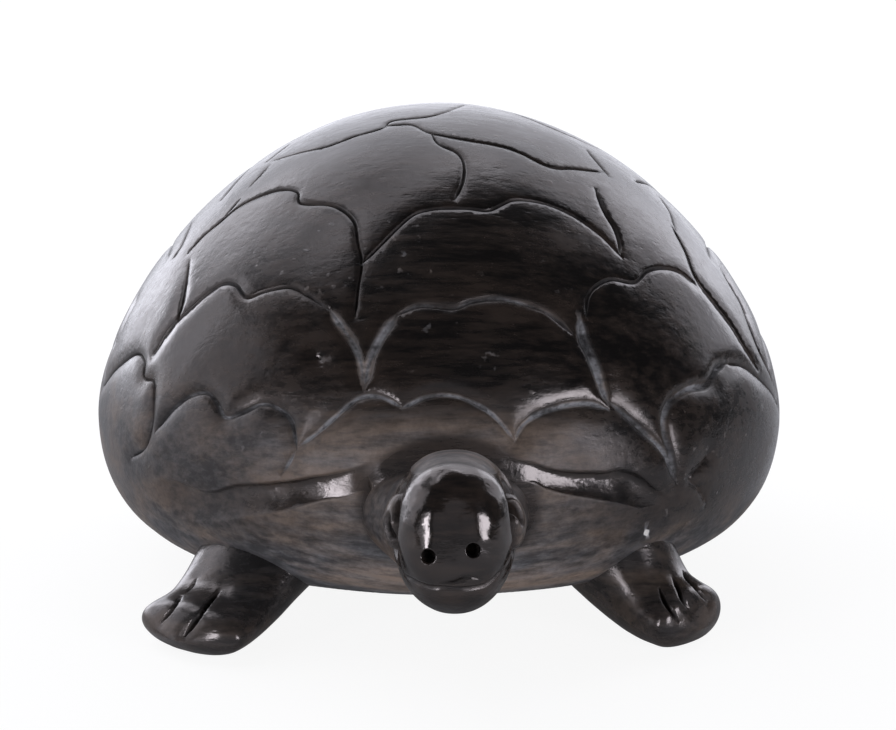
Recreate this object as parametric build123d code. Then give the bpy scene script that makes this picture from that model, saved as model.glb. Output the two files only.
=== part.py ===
from build123d import *
from math import cos, radians, sin
import os

# Carved hardwood turtle. The shell block carries a head, four legs and a tail that are carved
# apart, coped to the shell and held by glued dowels.
# Frame: millimetres, +Z up, floor at z = 0, nose towards -Y, origin under the middle of the length.

# Shell block
SHELL_WIDTH = 100.0
SHELL_FRONT = 50.0  # from the widest section forward
SHELL_REAR = 58.0  # from the widest section back
SHELL_TOP = 67.0  # crown above the floor
RIM_HEIGHT = 22.6  # widest line above the floor
BELLY_HEIGHT = 6.3  # flat belly above the floor
BELLY_WIDTH_SHARE = 0.76  # flat belly, of the shell's width
DOME_SIDE_SHARE = 0.32  # dome's upright run at the rim, of its rise
DOME_CROWN_SHARE = 0.60  # dome's level run at the crown, of the half width
UNDER_SIDE_SHARE = 0.66  # underside's upright run at the rim, of its drop
UNDER_FLAT_SHARE = 0.46  # underside's level run at the belly, of its overhang

# Carved plates: arched seams in rows, by the degrees round from +X where neighbours meet and the
# way down the dome of those meeting points and of the arches' tops
ROW_TURNS = (
    (-160, -105, -45, 15, 75, 135, 200),
    (-150, -105, -62, -25, 20, 65, 110, 155, 210),
    (-175, -145, -115, -95, -78, -60, -30, -10, 20, 55, 90, 125, 155, 185),
)
ROW_END_SHARES = (0.60, 0.75, 0.92)
ROW_TOP_SHARES = (0.42, 0.63, 0.83)
# Seams that cross the crown: their start, middle and end
CROWN_TURNS = ((-170, -135, 30), (-135, -60, -25))
CROWN_SHARES = ((0.37, 0.17, 0.07), (0.16, 0.25, 0.38))
SEAM_WIDTH = 0.8
SEAM_DEPTH = 0.7
SEAM_REACH = 12.0  # cutters run this far above and below the dome

# Hollow carved along the front, between shell edge and breast
HOLLOW_RADIUS = 3.0
HOLLOW_DEPTH = 1.6
HOLLOW_HEIGHT = 25.0  # its middle, at the front
HOLLOW_SWEEP = 48.0  # radius in plan
HOLLOW_TILT = 20.0  # degrees that its ends drop by

# Head and neck
HEAD_OUT = 25.0  # nose ahead of the front of the shell
HEAD_LENGTH = 25.0
HEAD_WIDTH = 16.8
HEAD_DEPTH = 21.0
HEAD_HEIGHT = 22.5  # middle of the head above the floor
HEAD_PITCH = 10.0  # degrees, nose up
HEAD_ASIDE = 2.1  # head off the middle line, towards +X
NOSE_LENGTH_SHARE = 0.52  # part of the head ahead of its widest section
NOSE_BLUNT_SHARE = 0.68
BROW_FULL_SHARE = 0.60
ROUND_SHARE = 0.5523  # handle of a quarter circle drawn as a cubic curve
NECK_WIDTH = 15.0
NECK_DEPTH = 16.0
NECK_ROOT_WIDTH = 23.0
NECK_ROOT_DEPTH = 14.0
NECK_ROOT_DROP = 2.0  # middle of the root below the middle of the head
NECK_INSET = 9.0  # neck's root plane behind the front of the shell

# Face
EYE_LENGTH = 5.6
EYE_HEIGHT = 7.4
EYE_DEPTH = 2.2
EYE_PROUD = 0.5  # eye beyond the side of the head
EYE_MOAT = 0.9  # width of the groove carved round the eye
EYE_FORWARD = 3.6  # ahead of the head's widest section
EYE_RISE = 1.7  # above the middle of the head
NOSTRIL_DIAMETER = 1.7
NOSTRIL_SPACING = 5.7
NOSTRIL_DROP = 1.5
NOSTRIL_BORE = 3.2  # drilled depth, from the plane of the nose tip
MOUTH_GAP = 0.6
MOUTH_CUT = 0.9
MOUTH_DROP = 4.8
MOUTH_RISE = 10.0  # degrees that the mouth climbs towards the cheeks
MOUTH_LENGTH = 9.5

# Legs
HIP_OUT_SHARE = 0.22  # hip from the middle line, of the shell's width
FRONT_HIP_SHARE = 0.586  # front hip ahead of the widest section, of the shell's front
REAR_HIP_SHARE = 0.57  # rear hip behind the widest section, of the shell's rear
LEG_SPLAY = 42.0  # degrees outwards from straight ahead or behind
LEG_RUN = 21.5  # level reach from the hip to the tip of the toes
HIP_HEIGHT = 13.6
HIP_WIDTH = 20.5
HIP_DEPTH = 15.5
# Stations along a leg, from the hip by ankle, ball and toes to the tip
LEG_RUN_SHARES = (0.0, 0.295, 0.59, 0.83, 1.0)
LEG_HEIGHT_SHARES = (1.0, 0.647, 0.335, 0.25, 0.20)
LEG_WIDTH_SHARES = (1.0, 0.805, 0.76, 0.80, 0.47)
LEG_DEPTH_SHARES = (1.0, 0.87, 0.63, 0.53, 0.21)
LEG_SLOPES = (38.0, 38.0, 20.0, 15.0, 8.0)  # degrees downwards
ANKLE = 1  # station that the dowel is counted from
BALL = 2  # station that the toe cuts start at
TOE_CUT_WIDTH = 1.0
TOE_CUT_DEPTH = 1.6
TOE_CUT_LENGTH = 9.0
TOE_CUTS = 3
TOE_FAN = 12.0  # degrees between toe cuts
TOE_SPACING = 3.6

# Tail
TAIL_OUT = 10.0  # tip behind the rear of the shell
TAIL_LENGTH = 20.0
TAIL_WIDTH = 9.0
TAIL_HEIGHT = 13.0
TAIL_TAPER_SHARE = 0.35
TAIL_TIP_SHARE = 0.30

# Dowels and fits
NECK_DOWEL_DIAMETER = 6.0
NECK_DOWEL_LENGTH = 26.0
LEG_DOWEL_DIAMETER = 3.5
LEG_DOWEL_LENGTH = 11.0
LEG_DOWEL_AHEAD = 1.0  # dowel's middle ahead of the ankle station, on the glue line
TAIL_DOWEL_DIAMETER = 3.0
TAIL_DOWEL_LENGTH = 12.0
DOWEL_CHAMFER = 0.4
DOWEL_CLEARANCE = 0.05  # on the radius
DOWEL_END_GAP = 0.5
GLUE_LINE = 0.1  # between a limb and the shell
OVERRUN = 40.0  # cutters run past what they cut

HEAD_REACH = SHELL_FRONT + HEAD_OUT  # from the widest section of the shell to the nose
TAIL_REACH = SHELL_REAR + TAIL_OUT  # from the widest section of the shell to the tail's tip
SHELL_Y = (HEAD_REACH - TAIL_REACH) / 2  # centres the overall length on the origin
SIDES = {"right": -1, "left": 1}  # the turtle's own left is +X
FULL_TURN = 360.0
HALF_TURN = 180.0
QUARTER_TURN = 90.0


def turned(profile, axis, arc=FULL_TURN):
    """A solid of revolution from a closed chain of edges with one edge on the axis."""
    return revolve(Face(Wire(profile)), axis=axis, revolution_arc=arc)


def ellipsoid(length_x, length_y, length_z):
    """A ball of unit radius stretched to three full lengths."""
    return scale(Sphere(1), by=(length_x / 2, length_y / 2, length_z / 2))


def dome_curve(grow=0.0):
    """The dome's outline from the crown to the rim, in the XZ plane."""
    half = SHELL_WIDTH / 2 + grow
    top = SHELL_TOP + grow
    side = RIM_HEIGHT + (top - RIM_HEIGHT) * DOME_SIDE_SHARE
    return Bezier((0, 0, top), (half * DOME_CROWN_SHARE, 0, top), (half, 0, side), (half, 0, RIM_HEIGHT))


def shell_blank(grow=0.0):
    """The bun-shaped block: a cubic dome over a cubic underside, turned about Z, then
    stretched by different lengths ahead of and behind the widest section."""
    half = SHELL_WIDTH / 2 + grow
    flat = SHELL_WIDTH / 2 * BELLY_WIDTH_SHARE
    bottom = BELLY_HEIGHT - grow
    drop = RIM_HEIGHT - bottom
    dome = dome_curve(grow)
    under = Bezier(
        (half, 0, RIM_HEIGHT),
        (half, 0, RIM_HEIGHT - drop * UNDER_SIDE_SHARE),
        (flat + (half - flat) * UNDER_FLAT_SHARE, 0, bottom),
        (flat, 0, bottom),
    )
    belly = Line((flat, 0, bottom), (0, 0, bottom))
    core = Line((0, 0, bottom), dome @ 0)
    rear_half = turned([dome, under, belly, core], Axis.Z, HALF_TURN)
    rear = scale(rear_half, by=(1, (SHELL_REAR + grow) / half, 1))
    front = Rot(0, 0, HALF_TURN) * scale(rear_half, by=(1, (SHELL_FRONT + grow) / half, 1))
    return Pos(0, SHELL_Y, 0) * (rear + front)


def dome_seat(turn, down):
    """A frame on the dome: Z is square to its surface and X runs level round it. Turn is in
    degrees from +X, and down is the way from the crown to the rim."""
    outline = dome_curve()
    spot = outline @ down
    slope = outline % down
    across = cos(radians(turn))
    along = sin(radians(turn))
    stretch = (SHELL_FRONT if along < 0 else SHELL_REAR) / (SHELL_WIDTH / 2)
    origin = (spot.X * across, SHELL_Y + spot.X * along * stretch, spot.Z)
    normal = (-slope.Z * across, -slope.Z * along / stretch, slope.X)
    return Plane(origin=origin, x_dir=(-along, across * stretch, 0), z_dir=normal)


def seam_places():
    """Turn and way down the dome of the start, top and end of every seam between the plates."""
    places = [list(zip(turns, shares)) for turns, shares in zip(CROWN_TURNS, CROWN_SHARES)]
    for turns, end_share, top_share in zip(ROW_TURNS, ROW_END_SHARES, ROW_TOP_SHARES):
        for start, end in zip(turns, turns[1:]):
            places.append([(start, end_share), ((start + end) / 2, top_share), (end, end_share)])
    return places


def plate_seams():
    """The grooves between the carved plates: arcs on the dome, cut through its skin."""
    skin = shell_blank(SEAM_DEPTH) - shell_blank(-SEAM_DEPTH)
    seams = []
    for start, top, end in seam_places():
        seat = dome_seat(*top)
        first, last = [seat.to_local_coords(dome_seat(*place).origin) for place in (start, end)]
        arc = ThreePointArc((first.X, first.Y), (0, 0), (last.X, last.Y))
        blade = extrude(trace(arc, line_width=SEAM_WIDTH), amount=SEAM_REACH, both=True)
        seams.append(skin & (Location(seat) * blade))
    return seams


def front_hollow():
    """A ring that bites into the front of the shell and drops out of it towards the legs."""
    front = SHELL_Y - SHELL_FRONT
    tube_middle = front - HOLLOW_RADIUS + HOLLOW_DEPTH
    ring = Pos(0, HOLLOW_SWEEP, 0) * Torus(HOLLOW_SWEEP, HOLLOW_RADIUS)
    return Pos(0, tube_middle, HOLLOW_HEIGHT) * Rot(-HOLLOW_TILT, 0, 0) * ring


def head_egg(shrink=0.0):
    """The head's egg, nose along -Y, with its widest section at the origin."""
    half = HEAD_WIDTH / 2 - shrink
    nose = HEAD_LENGTH * NOSE_LENGTH_SHARE - shrink
    back = HEAD_LENGTH * (1 - NOSE_LENGTH_SHARE) - shrink
    front_curve = Bezier(
        (0, -nose, 0),
        (half * NOSE_BLUNT_SHARE, -nose, 0),
        (half, -nose * BROW_FULL_SHARE, 0),
        (half, 0, 0),
    )
    back_curve = Bezier(
        (half, 0, 0),
        (half, back * ROUND_SHARE, 0),
        (half * ROUND_SHARE, back, 0),
        (0, back, 0),
    )
    egg = turned([front_curve, back_curve, Line((0, back, 0), (0, -nose, 0))], Axis.Y)
    return scale(egg, by=(1, 1, (HEAD_DEPTH / 2 - shrink) / half))


def head_place():
    """Where the head's widest section sits, pitched and off the middle line."""
    middle_y = SHELL_Y - HEAD_REACH + HEAD_LENGTH * NOSE_LENGTH_SHARE
    return Pos(HEAD_ASIDE, middle_y, HEAD_HEIGHT) * Rot(-HEAD_PITCH, 0, 0)


def face_cuts():
    """Eye sockets, drilled nostrils and the mouth line, in the head's own frame."""
    nose = HEAD_LENGTH * NOSE_LENGTH_SHARE
    cuts = []
    for side in SIDES.values():
        socket = ellipsoid(EYE_DEPTH, EYE_LENGTH + 2 * EYE_MOAT, EYE_HEIGHT + 2 * EYE_MOAT)
        cuts.append(Pos(side * HEAD_WIDTH / 2, -EYE_FORWARD, EYE_RISE) * socket)
        drill = Cylinder(NOSTRIL_DIAMETER / 2, 2 * NOSTRIL_BORE)
        cuts.append(Pos(side * NOSTRIL_SPACING / 2, -nose, -NOSTRIL_DROP) * Rot(90, 0, 0) * drill)
    slab = Box(HEAD_WIDTH, MOUTH_LENGTH, MOUTH_GAP, align=(Align.CENTER, Align.MIN, Align.CENTER))
    mouth = Pos(0, -nose, -MOUTH_DROP) * Rot(MOUTH_RISE, 0, 0) * slab
    cuts.append(mouth - head_egg(MOUTH_CUT))
    return cuts


def eyes():
    """The two raised eyes left standing in their sockets."""
    seat = HEAD_WIDTH / 2 - EYE_DEPTH / 2 + EYE_PROUD
    ball = ellipsoid(EYE_DEPTH, EYE_LENGTH, EYE_HEIGHT)
    return [Pos(side * seat, -EYE_FORWARD, EYE_RISE) * ball for side in SIDES.values()]


def neck():
    """A loft from the wide root inside the shell to the back of the head."""
    root_y = SHELL_Y - SHELL_FRONT + NECK_INSET
    upright = Rot(90, 0, 0)
    root_place = Pos(0, root_y, HEAD_HEIGHT - NECK_ROOT_DROP)
    root = root_place * upright * Ellipse(NECK_ROOT_WIDTH / 2, NECK_ROOT_DEPTH / 2)
    throat = head_place() * upright * Ellipse(NECK_WIDTH / 2, NECK_DEPTH / 2)
    return loft([root, throat])


def dowel(diameter, length):
    """A plain dowel about the origin, along Z, with chamfered ends."""
    pin = Cylinder(diameter / 2, length)
    return chamfer(pin.edges().filter_by(GeomType.CIRCLE), DOWEL_CHAMFER)


def dowel_bore(diameter, length):
    """The hole that a dowel is glued into, a little wider and longer than the dowel."""
    return Cylinder(diameter / 2 + DOWEL_CLEARANCE, length + 2 * DOWEL_END_GAP)


def leg_seat(end):
    """The spot on the floor under the +X hip, with X along the leg; end is -1 for the front."""
    reach = SHELL_FRONT * FRONT_HIP_SHARE if end < 0 else SHELL_REAR * REAR_HIP_SHARE
    heading = end * (QUARTER_TURN - LEG_SPLAY)
    return Pos(SHELL_WIDTH * HIP_OUT_SHARE, SHELL_Y + end * reach, 0) * Rot(0, 0, heading)


def leg_station(number):
    """A frame on the leg's middle line, with its Z along the leg and its Y across the back."""
    middle = Pos(LEG_RUN * LEG_RUN_SHARES[number], 0, HIP_HEIGHT * LEG_HEIGHT_SHARES[number])
    return middle * Rot(0, QUARTER_TURN + LEG_SLOPES[number], 0) * Rot(0, 0, QUARTER_TURN)


def leg_section(number):
    """The leg's ellipse at a station."""
    half_width = HIP_WIDTH * LEG_WIDTH_SHARES[number] / 2
    half_depth = HIP_DEPTH * LEG_DEPTH_SHARES[number] / 2
    return leg_station(number) * Ellipse(half_width, half_depth)


def leg(end):
    """One leg on the +X side: a loft from hip to toes, with a flat sole and toe cuts."""
    sections = [leg_section(number) for number in range(len(LEG_RUN_SHARES))]
    floor = Box(OVERRUN * 2, OVERRUN * 2, OVERRUN, align=(Align.CENTER, Align.CENTER, Align.MAX))
    return leg_seat(end) * (loft(sections) - floor - toe_cuts())


def toe_cuts():
    """Knife cuts that fan out over the top of the toes, each a V that is open upwards."""
    knife = Polyline(
        (-TOE_CUT_WIDTH / 2, TOE_CUT_DEPTH),
        (0, -TOE_CUT_DEPTH),
        (TOE_CUT_WIDTH / 2, TOE_CUT_DEPTH),
        close=True,
    )
    blade = extrude(Plane.YZ * make_face(knife), amount=TOE_CUT_LENGTH)
    middle = Pos(LEG_RUN * LEG_RUN_SHARES[BALL], 0, HIP_HEIGHT * LEG_HEIGHT_SHARES[BALL])
    top = middle * Rot(0, LEG_SLOPES[BALL], 0) * Pos(0, 0, HIP_DEPTH * LEG_DEPTH_SHARES[BALL] / 2)
    cuts = []
    for number in range(TOE_CUTS):
        step = number - (TOE_CUTS - 1) / 2
        cuts.append(top * Pos(0, step * TOE_SPACING, 0) * Rot(0, 0, step * TOE_FAN) * blade)
    return cuts


def tail():
    """A short tapering tail with a round tip, lying along +Y."""
    half = TAIL_WIDTH / 2
    root_y = SHELL_Y + TAIL_REACH - TAIL_LENGTH
    tip_y = SHELL_Y + TAIL_REACH
    side = Bezier(
        (half, root_y, 0),
        (half, root_y + TAIL_LENGTH * TAIL_TAPER_SHARE, 0),
        (half * TAIL_TIP_SHARE, tip_y, 0),
        (0, tip_y, 0),
    )
    base = Line((0, root_y, 0), (half, root_y, 0))
    middle = Line((0, tip_y, 0), (0, root_y, 0))
    return Pos(0, 0, TAIL_HEIGHT) * turned([base, side, middle], Axis.Y)


def build():
    """Every piece in its place, by node name."""
    blank = shell_blank()
    cope = shell_blank(GLUE_LINE)
    pieces = {}
    bores = []

    neck_seat = Pos(0, SHELL_Y - SHELL_FRONT, HEAD_HEIGHT - NECK_ROOT_DROP) * Rot(90, 0, 0)
    neck_bore = neck_seat * dowel_bore(NECK_DOWEL_DIAMETER, NECK_DOWEL_LENGTH)
    face = head_place() * (head_egg() - face_cuts() + eyes())
    pieces["head"] = face + neck() - cope - neck_bore
    pieces["neck_dowel"] = neck_seat * dowel(NECK_DOWEL_DIAMETER, NECK_DOWEL_LENGTH)
    bores.append(neck_bore)

    for end_name, end in (("front", -1), ("rear", 1)):
        seat = leg_seat(end) * leg_station(ANKLE) * Pos(0, 0, LEG_DOWEL_AHEAD)
        pin = seat * dowel(LEG_DOWEL_DIAMETER, LEG_DOWEL_LENGTH)
        bore = seat * dowel_bore(LEG_DOWEL_DIAMETER, LEG_DOWEL_LENGTH)
        left_leg = leg(end) - cope - bore
        for side_name, side in SIDES.items():
            name = f"{end_name}_{side_name}_leg"
            placed = [left_leg, pin, bore]
            if side < 0:
                placed = [mirror(item, about=Plane.YZ) for item in placed]
            pieces[name], pieces[name + "_dowel"], side_bore = placed
            bores.append(side_bore)

    tail_seat = Pos(0, SHELL_Y + SHELL_REAR, TAIL_HEIGHT) * Rot(90, 0, 0)
    tail_bore = tail_seat * dowel_bore(TAIL_DOWEL_DIAMETER, TAIL_DOWEL_LENGTH)
    pieces["tail"] = tail() - cope - tail_bore
    pieces["tail_dowel"] = tail_seat * dowel(TAIL_DOWEL_DIAMETER, TAIL_DOWEL_LENGTH)
    bores.append(tail_bore)

    pieces["shell"] = blank - front_hollow() - bores - plate_seams()
    return pieces


def main():
    os.makedirs("parts", exist_ok=True)
    for name, piece in build().items():
        export_step(piece, f"parts/{name}.step")


main()
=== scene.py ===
from math import cos, radians, sin, tau

import bpy
import numpy as np
from bpy.props import FloatProperty, FloatVectorProperty, PointerProperty
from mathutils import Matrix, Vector
from mathutils.bvhtree import BVHTree
from mathutils.geometry import delaunay_2d_cdt


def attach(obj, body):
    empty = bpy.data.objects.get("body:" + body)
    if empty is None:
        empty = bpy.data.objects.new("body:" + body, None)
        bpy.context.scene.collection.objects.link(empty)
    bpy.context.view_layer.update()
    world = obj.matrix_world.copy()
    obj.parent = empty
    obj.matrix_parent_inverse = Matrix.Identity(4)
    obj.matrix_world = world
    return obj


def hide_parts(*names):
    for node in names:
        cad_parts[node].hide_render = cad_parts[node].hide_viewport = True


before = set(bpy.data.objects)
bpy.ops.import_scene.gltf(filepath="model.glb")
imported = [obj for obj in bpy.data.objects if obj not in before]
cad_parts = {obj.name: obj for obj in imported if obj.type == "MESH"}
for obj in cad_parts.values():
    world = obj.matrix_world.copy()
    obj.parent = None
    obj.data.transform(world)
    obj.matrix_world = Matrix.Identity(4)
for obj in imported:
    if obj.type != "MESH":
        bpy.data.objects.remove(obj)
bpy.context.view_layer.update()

bl_info = {
    "name": "Carved Ebony Turtle",
    "version": (1, 0, 0),
    "blender": (4, 5, 0),
    "location": "View3D > Sidebar > Turtle",
    "description": "Dresses the packed turtle with carved, polished hardwood surfaces",
    "category": "Add Mesh",
}

MM = 0.001

# The photograph's frame, in pixels
PHOTO_WIDTH = 896
PHOTO_HEIGHT = 730
SENSOR = 36.0

# Seams of the shell as they run in the photograph: half width and depth in millimetres, dust, then pixels
SHELL_SEAMS = {
    "crown_left": (0.22, 0.50, 0.00, [
        (464, 104), (430, 114), (392, 119), (381, 127), (355, 135), (328, 145), (301, 151), (274, 158)]),
    "crown_left_tick": (0.19, 0.36, 0.00, [(288, 143), (268, 158)]),
    "crown_left_drop": (0.20, 0.41, 0.00, [(266, 166), (250, 184)]),
    "crown_right": (0.26, 0.54, 0.00, [
        (386, 124), (412, 123), (430, 131), (452, 136), (497, 144), (520, 151), (550, 165), (574, 167),
        (601, 171)]),
    "crown_edge": (0.24, 0.50, 0.05, [(507, 109), (534, 119), (571, 135), (598, 147)]),
    "crown_tick": (0.24, 0.54, 0.00, [(588, 150), (609, 175)]),
    "crown_wide_cut": (0.36, 0.63, 0.00, [(597, 189), (606, 210), (616, 227), (621, 243), (621, 252)]),
    "crown_curl": (0.27, 0.50, 0.00, [
        (432, 133), (440, 143), (457, 151), (464, 162), (463, 180), (455, 198)]),
    "upper_left": (0.26, 0.54, 0.00, [
        (188, 250), (202, 235), (220, 220), (237, 206), (258, 195), (280, 188), (296, 190), (299, 201),
        (328, 203), (344, 210), (354, 222), (357, 241), (361, 262), (357, 289), (354, 314)]),
    "upper_left_overshoot": (0.24, 0.45, 0.00, [(224, 215), (239, 198)]),
    "left_edge_cut": (0.24, 0.45, 0.10, [(190, 221), (181, 243), (174, 254)]),
    "upper_centre": (0.27, 0.54, 0.05, [
        (362, 262), (381, 243), (397, 227), (416, 212), (440, 207), (467, 207), (488, 209), (502, 203),
        (515, 198), (539, 200), (561, 207), (582, 218), (604, 235), (622, 255)]),
    "left_vertical": (0.21, 0.41, 0.00, [(187, 260), (181, 292), (175, 315), (163, 334)]),
    "far_left_edge": (0.19, 0.36, 0.00, [(132, 303), (123, 321), (113, 342)]),
    "mid_left": (0.29, 0.54, 0.15, [
        (151, 351), (167, 326), (189, 305), (205, 292), (221, 283), (234, 284), (245, 296), (264, 290),
        (288, 286), (306, 294), (328, 308)]),
    "mid_centre": (0.37, 0.63, 0.22, [
        (397, 313), (420, 304), (453, 306), (472, 300), (496, 297), (520, 301), (545, 309), (561, 320),
        (573, 331)]),
    "mid_centre_foot": (0.75, 0.50, 0.54, [(363, 386), (368, 361), (381, 334), (397, 313)]),
    "mid_left_foot": (0.62, 0.45, 0.38, [(328, 308), (341, 326), (352, 342), (360, 364), (361, 383)]),
    "right_vertical": (0.80, 0.72, 0.75, [
        (581, 316), (585, 337), (593, 354), (600, 372), (605, 388), (611, 402)]),
    "mid_right": (0.29, 0.54, 0.10, [
        (588, 314), (589, 297), (596, 286), (612, 278), (636, 281), (649, 270), (662, 267), (679, 270),
        (697, 282)]),
    "far_right_top": (0.24, 0.45, 0.00, [(662, 197), (672, 212), (677, 227)]),
    "far_right_inner": (0.34, 0.59, 0.00, [
        (675, 227), (687, 250), (698, 277), (717, 300), (735, 323), (746, 342), (760, 366)]),
    "far_right_outer": (0.24, 0.45, 0.10, [
        (728, 275), (744, 303), (752, 323), (763, 350), (777, 380), (785, 403)]),
    "low_right": (0.61, 0.72, 0.45, [
        (679, 483), (674, 456), (668, 434), (667, 416), (675, 399), (692, 388), (712, 383), (721, 368),
        (730, 362)]),
    "low_right_outer": (0.27, 0.50, 0.10, [(730, 362), (745, 364), (760, 375), (777, 394), (786, 416)]),
    "low_right_flap": (0.27, 0.45, 0.15, [(708, 459), (691, 479), (700, 490), (707, 505)]),
    "low_left_outer": (0.27, 0.50, 0.00, [
        (100, 385), (113, 366), (132, 352), (140, 361), (140, 377), (150, 381), (150, 405), (148, 427),
        (141, 448), (128, 458)]),
    "low_left": (0.34, 0.59, 0.45, [
        (153, 429), (169, 409), (187, 395), (204, 392), (214, 403), (222, 417), (239, 412), (260, 403),
        (278, 409), (289, 420), (293, 438), (295, 449)]),
    "low_left_tail": (0.40, 0.45, 0.60, [(295, 448), (287, 463), (279, 476)]),
    "low_centre_left": (0.44, 0.59, 0.80, [
        (297, 446), (317, 431), (334, 416), (356, 398), (379, 396), (402, 407)]),
    "low_centre": (0.42, 0.59, 0.85, [
        (400, 408), (427, 396), (454, 395), (480, 405), (499, 419), (516, 440)]),
    "low_centre_right": (0.56, 0.68, 0.98, [
        (516, 441), (524, 425), (543, 412), (572, 404), (593, 403), (610, 408)]),
    "right_diagonal": (0.50, 0.59, 0.55, [
        (612, 401), (622, 409), (643, 428), (660, 444), (670, 459), (678, 482)]),
}

# Small flaws: a pale chip under the rim and pits of the wood, as the seams
FLAWS = {
    "pale_chip": (0.62, 0.30, 2.4, [(647, 531), (648, 534), (649, 537)]),
    "left_pit": (0.30, 0.30, 0.0, [(316, 356), (318, 357), (320, 358)]),
    "knot": (0.34, 0.30, 0.3, [(369, 482), (370, 485), (371, 488)]),
}

# Trough carved along the front, from the turtle's right to its left: its edge under the plates, then its
# lower edge
LEDGE = [
    (150, 480), (172, 479), (205, 491), (233, 484), (267, 482), (293, 479), (333, 472), (357, 466),
    (377, 459), (450, 452), (526, 460), (545, 466), (565, 470), (604, 471), (622, 468), (640, 474),
    (655, 487), (672, 500),
]
TROUGH_EDGE = [
    (150, 500), (172, 514), (190, 522), (223, 522), (245, 518), (272, 514), (289, 511), (320, 502),
    (345, 498), (377, 488), (450, 478), (526, 482), (545, 489), (565, 495), (600, 501), (622, 505),
    (640, 509), (655, 507), (672, 503),
]

# Rows of plates on the hidden rear half, as the solid has them: degrees round from +X where neighbours meet,
# and the way down the dome of those meeting points and of the arches' tops
REAR_ROWS = [
    ((-45, 15, 75, 135, 200), 0.60, 0.42),
    ((-25, 20, 65, 110, 155, 210), 0.75, 0.63),
    ((-10, 20, 55, 90, 125, 155, 185), 0.92, 0.83),
]

# Lines of the face, as they run in the photograph
FACE_LINES = {
    "mouth": (0.42, 0.42, 0.05, [
        (402, 576), (413, 583), (426, 588), (440, 589), (456, 590), (471, 590), (483, 588), (491, 584),
        (498, 578), (506, 569)]),
    "upper_lip": (0.30, 0.16, 0.00, [(438, 584), (453, 582), (465, 578), (477, 579), (486, 582)]),
    "right_cheek": (0.28, 0.22, 0.00, [(397, 552), (399, 563), (402, 576)]),
    "left_cheek": (0.28, 0.22, 0.00, [(514, 550), (511, 560), (506, 569)]),
}

# Knife cuts between the toes of the front feet
RIGHT_TOE_CUTS = {
    "inner": (0.34, 1.2, 0.0, [(219, 588), (208, 602), (196, 619), (184, 636)]),
    "middle": (0.30, 0.9, 0.0, [(181, 595), (171, 609), (160, 622)]),
    "outer": (0.28, 0.7, 0.0, [(195, 577), (192, 584), (186, 591)]),
}
LEFT_TOE_CUTS = {
    "inner": (0.34, 1.0, 0.0, [(659, 586), (664, 600), (671, 610), (680, 622)]),
    "middle": (0.36, 1.1, 0.0, [(674, 576), (679, 588), (683, 598), (689, 608)]),
    "outer": (0.32, 0.9, 0.0, [(685, 570), (688, 578), (695, 585), (701, 592), (709, 601)]),
}


# Studio lamps: place and size in metres, and how bright their faces are against white paper
LAMPS = {
    "back_low": ((0.0, 0.80, 0.12), (1.8, 0.24), 1.3),
    "back_mid": ((0.0, 0.75, 0.42), (1.6, 0.36), 1.3),
    "back_high": ((0.0, 0.55, 0.72), (1.5, 0.40), 1.3),
    "back_top": ((-0.15, 0.24, 0.84), (0.9, 0.17), 1.4),
    "left_top": ((-0.45, 0.12, 0.72), (0.35, 0.35), 0.8),
    "left_high": ((-0.42, 0.50, 0.62), (0.5, 0.45), 0.4),
    "left_back": ((-0.62, 0.45, 0.35), (0.6, 0.50), 1.2),
    "left_back_low": ((-0.60, 0.65, 0.12), (0.6, 0.24), 1.1),
    "left_mid": ((-0.75, 0.0, 0.35), (0.5, 0.45), 0.9),
    "left_low": ((-0.75, 0.10, 0.08), (0.8, 0.16), 0.6),
    "right_back": ((0.58, 0.52, 0.37), (0.55, 0.52), 1.0),
    "front_left": ((-0.50, -0.50, 0.12), (0.3, 0.22), 0.8),
    "front_middle": ((0.0, -0.80, 0.20), (0.6, 0.35), 0.2),
    "left_box": ((-0.395, -0.468, 0.09), (0.12, 0.20), 11.0),
    "right_box": ((0.415, -0.445, 0.12), (0.22, 0.22), 7.6),
}
LAMP_TINT = (0.96, 0.975, 1.07)
LAMP_AIM = (0.0, 0.0, 0.03)
CLIP_START = 10.0 * MM
# The floor: half its side in metres, how white it looks to the camera and how dim in what the wax mirrors
FLOOR_HALF = 6.0
WHITE_SHARE, WHITE_GLOW = 0.86, 1.05
MIRROR_SHARE, MIRROR_GLOW = 0.40, 0.12
WHITE = (1.0, 1.0, 1.0)
ROOM = (0.045, 0.045, 0.048)

# Too small to divide by, the distance at which mesh points are one, and runs that count as the same
TINY = 1e-12
WELD = 1e-9
SAME_RUN = 1e-6

# A piece's marks on its points: raw cuts, dust or dull wax together with painted light, and high polish,
# each from nought to one
MARKS = ("carving", "dust", "gloss")

# Knife lines: steps between two listed pixels, distances between points, and the length of a cut's run-out
CURVE_STEPS = 12
SEAM_STEP = 0.45 * MM
FLAW_STEP = 0.20 * MM
FINE_STEP = 0.25 * MM
RUN_OUT = 1.6 * MM
# What is left of a cut at its very ends, and the most that its dust gathers in patches
RUN_OUT_LEAST = 0.45
DUST_MOST = 1.6
# A groove's lips against its half width, the hollowness of its walls, and the depth where it is all raw wood
GROOVE_SPREAD = 1.35
GROOVE_POWER = 1.25
RAW_DEPTH = 0.5 * MM

# Ripples of hand work: how far the lengths of their waves spread, and what brings their mean up to about one
RIPPLE_SPREAD = (0.7, 1.4)
RIPPLE_GAIN = 1.6
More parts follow.
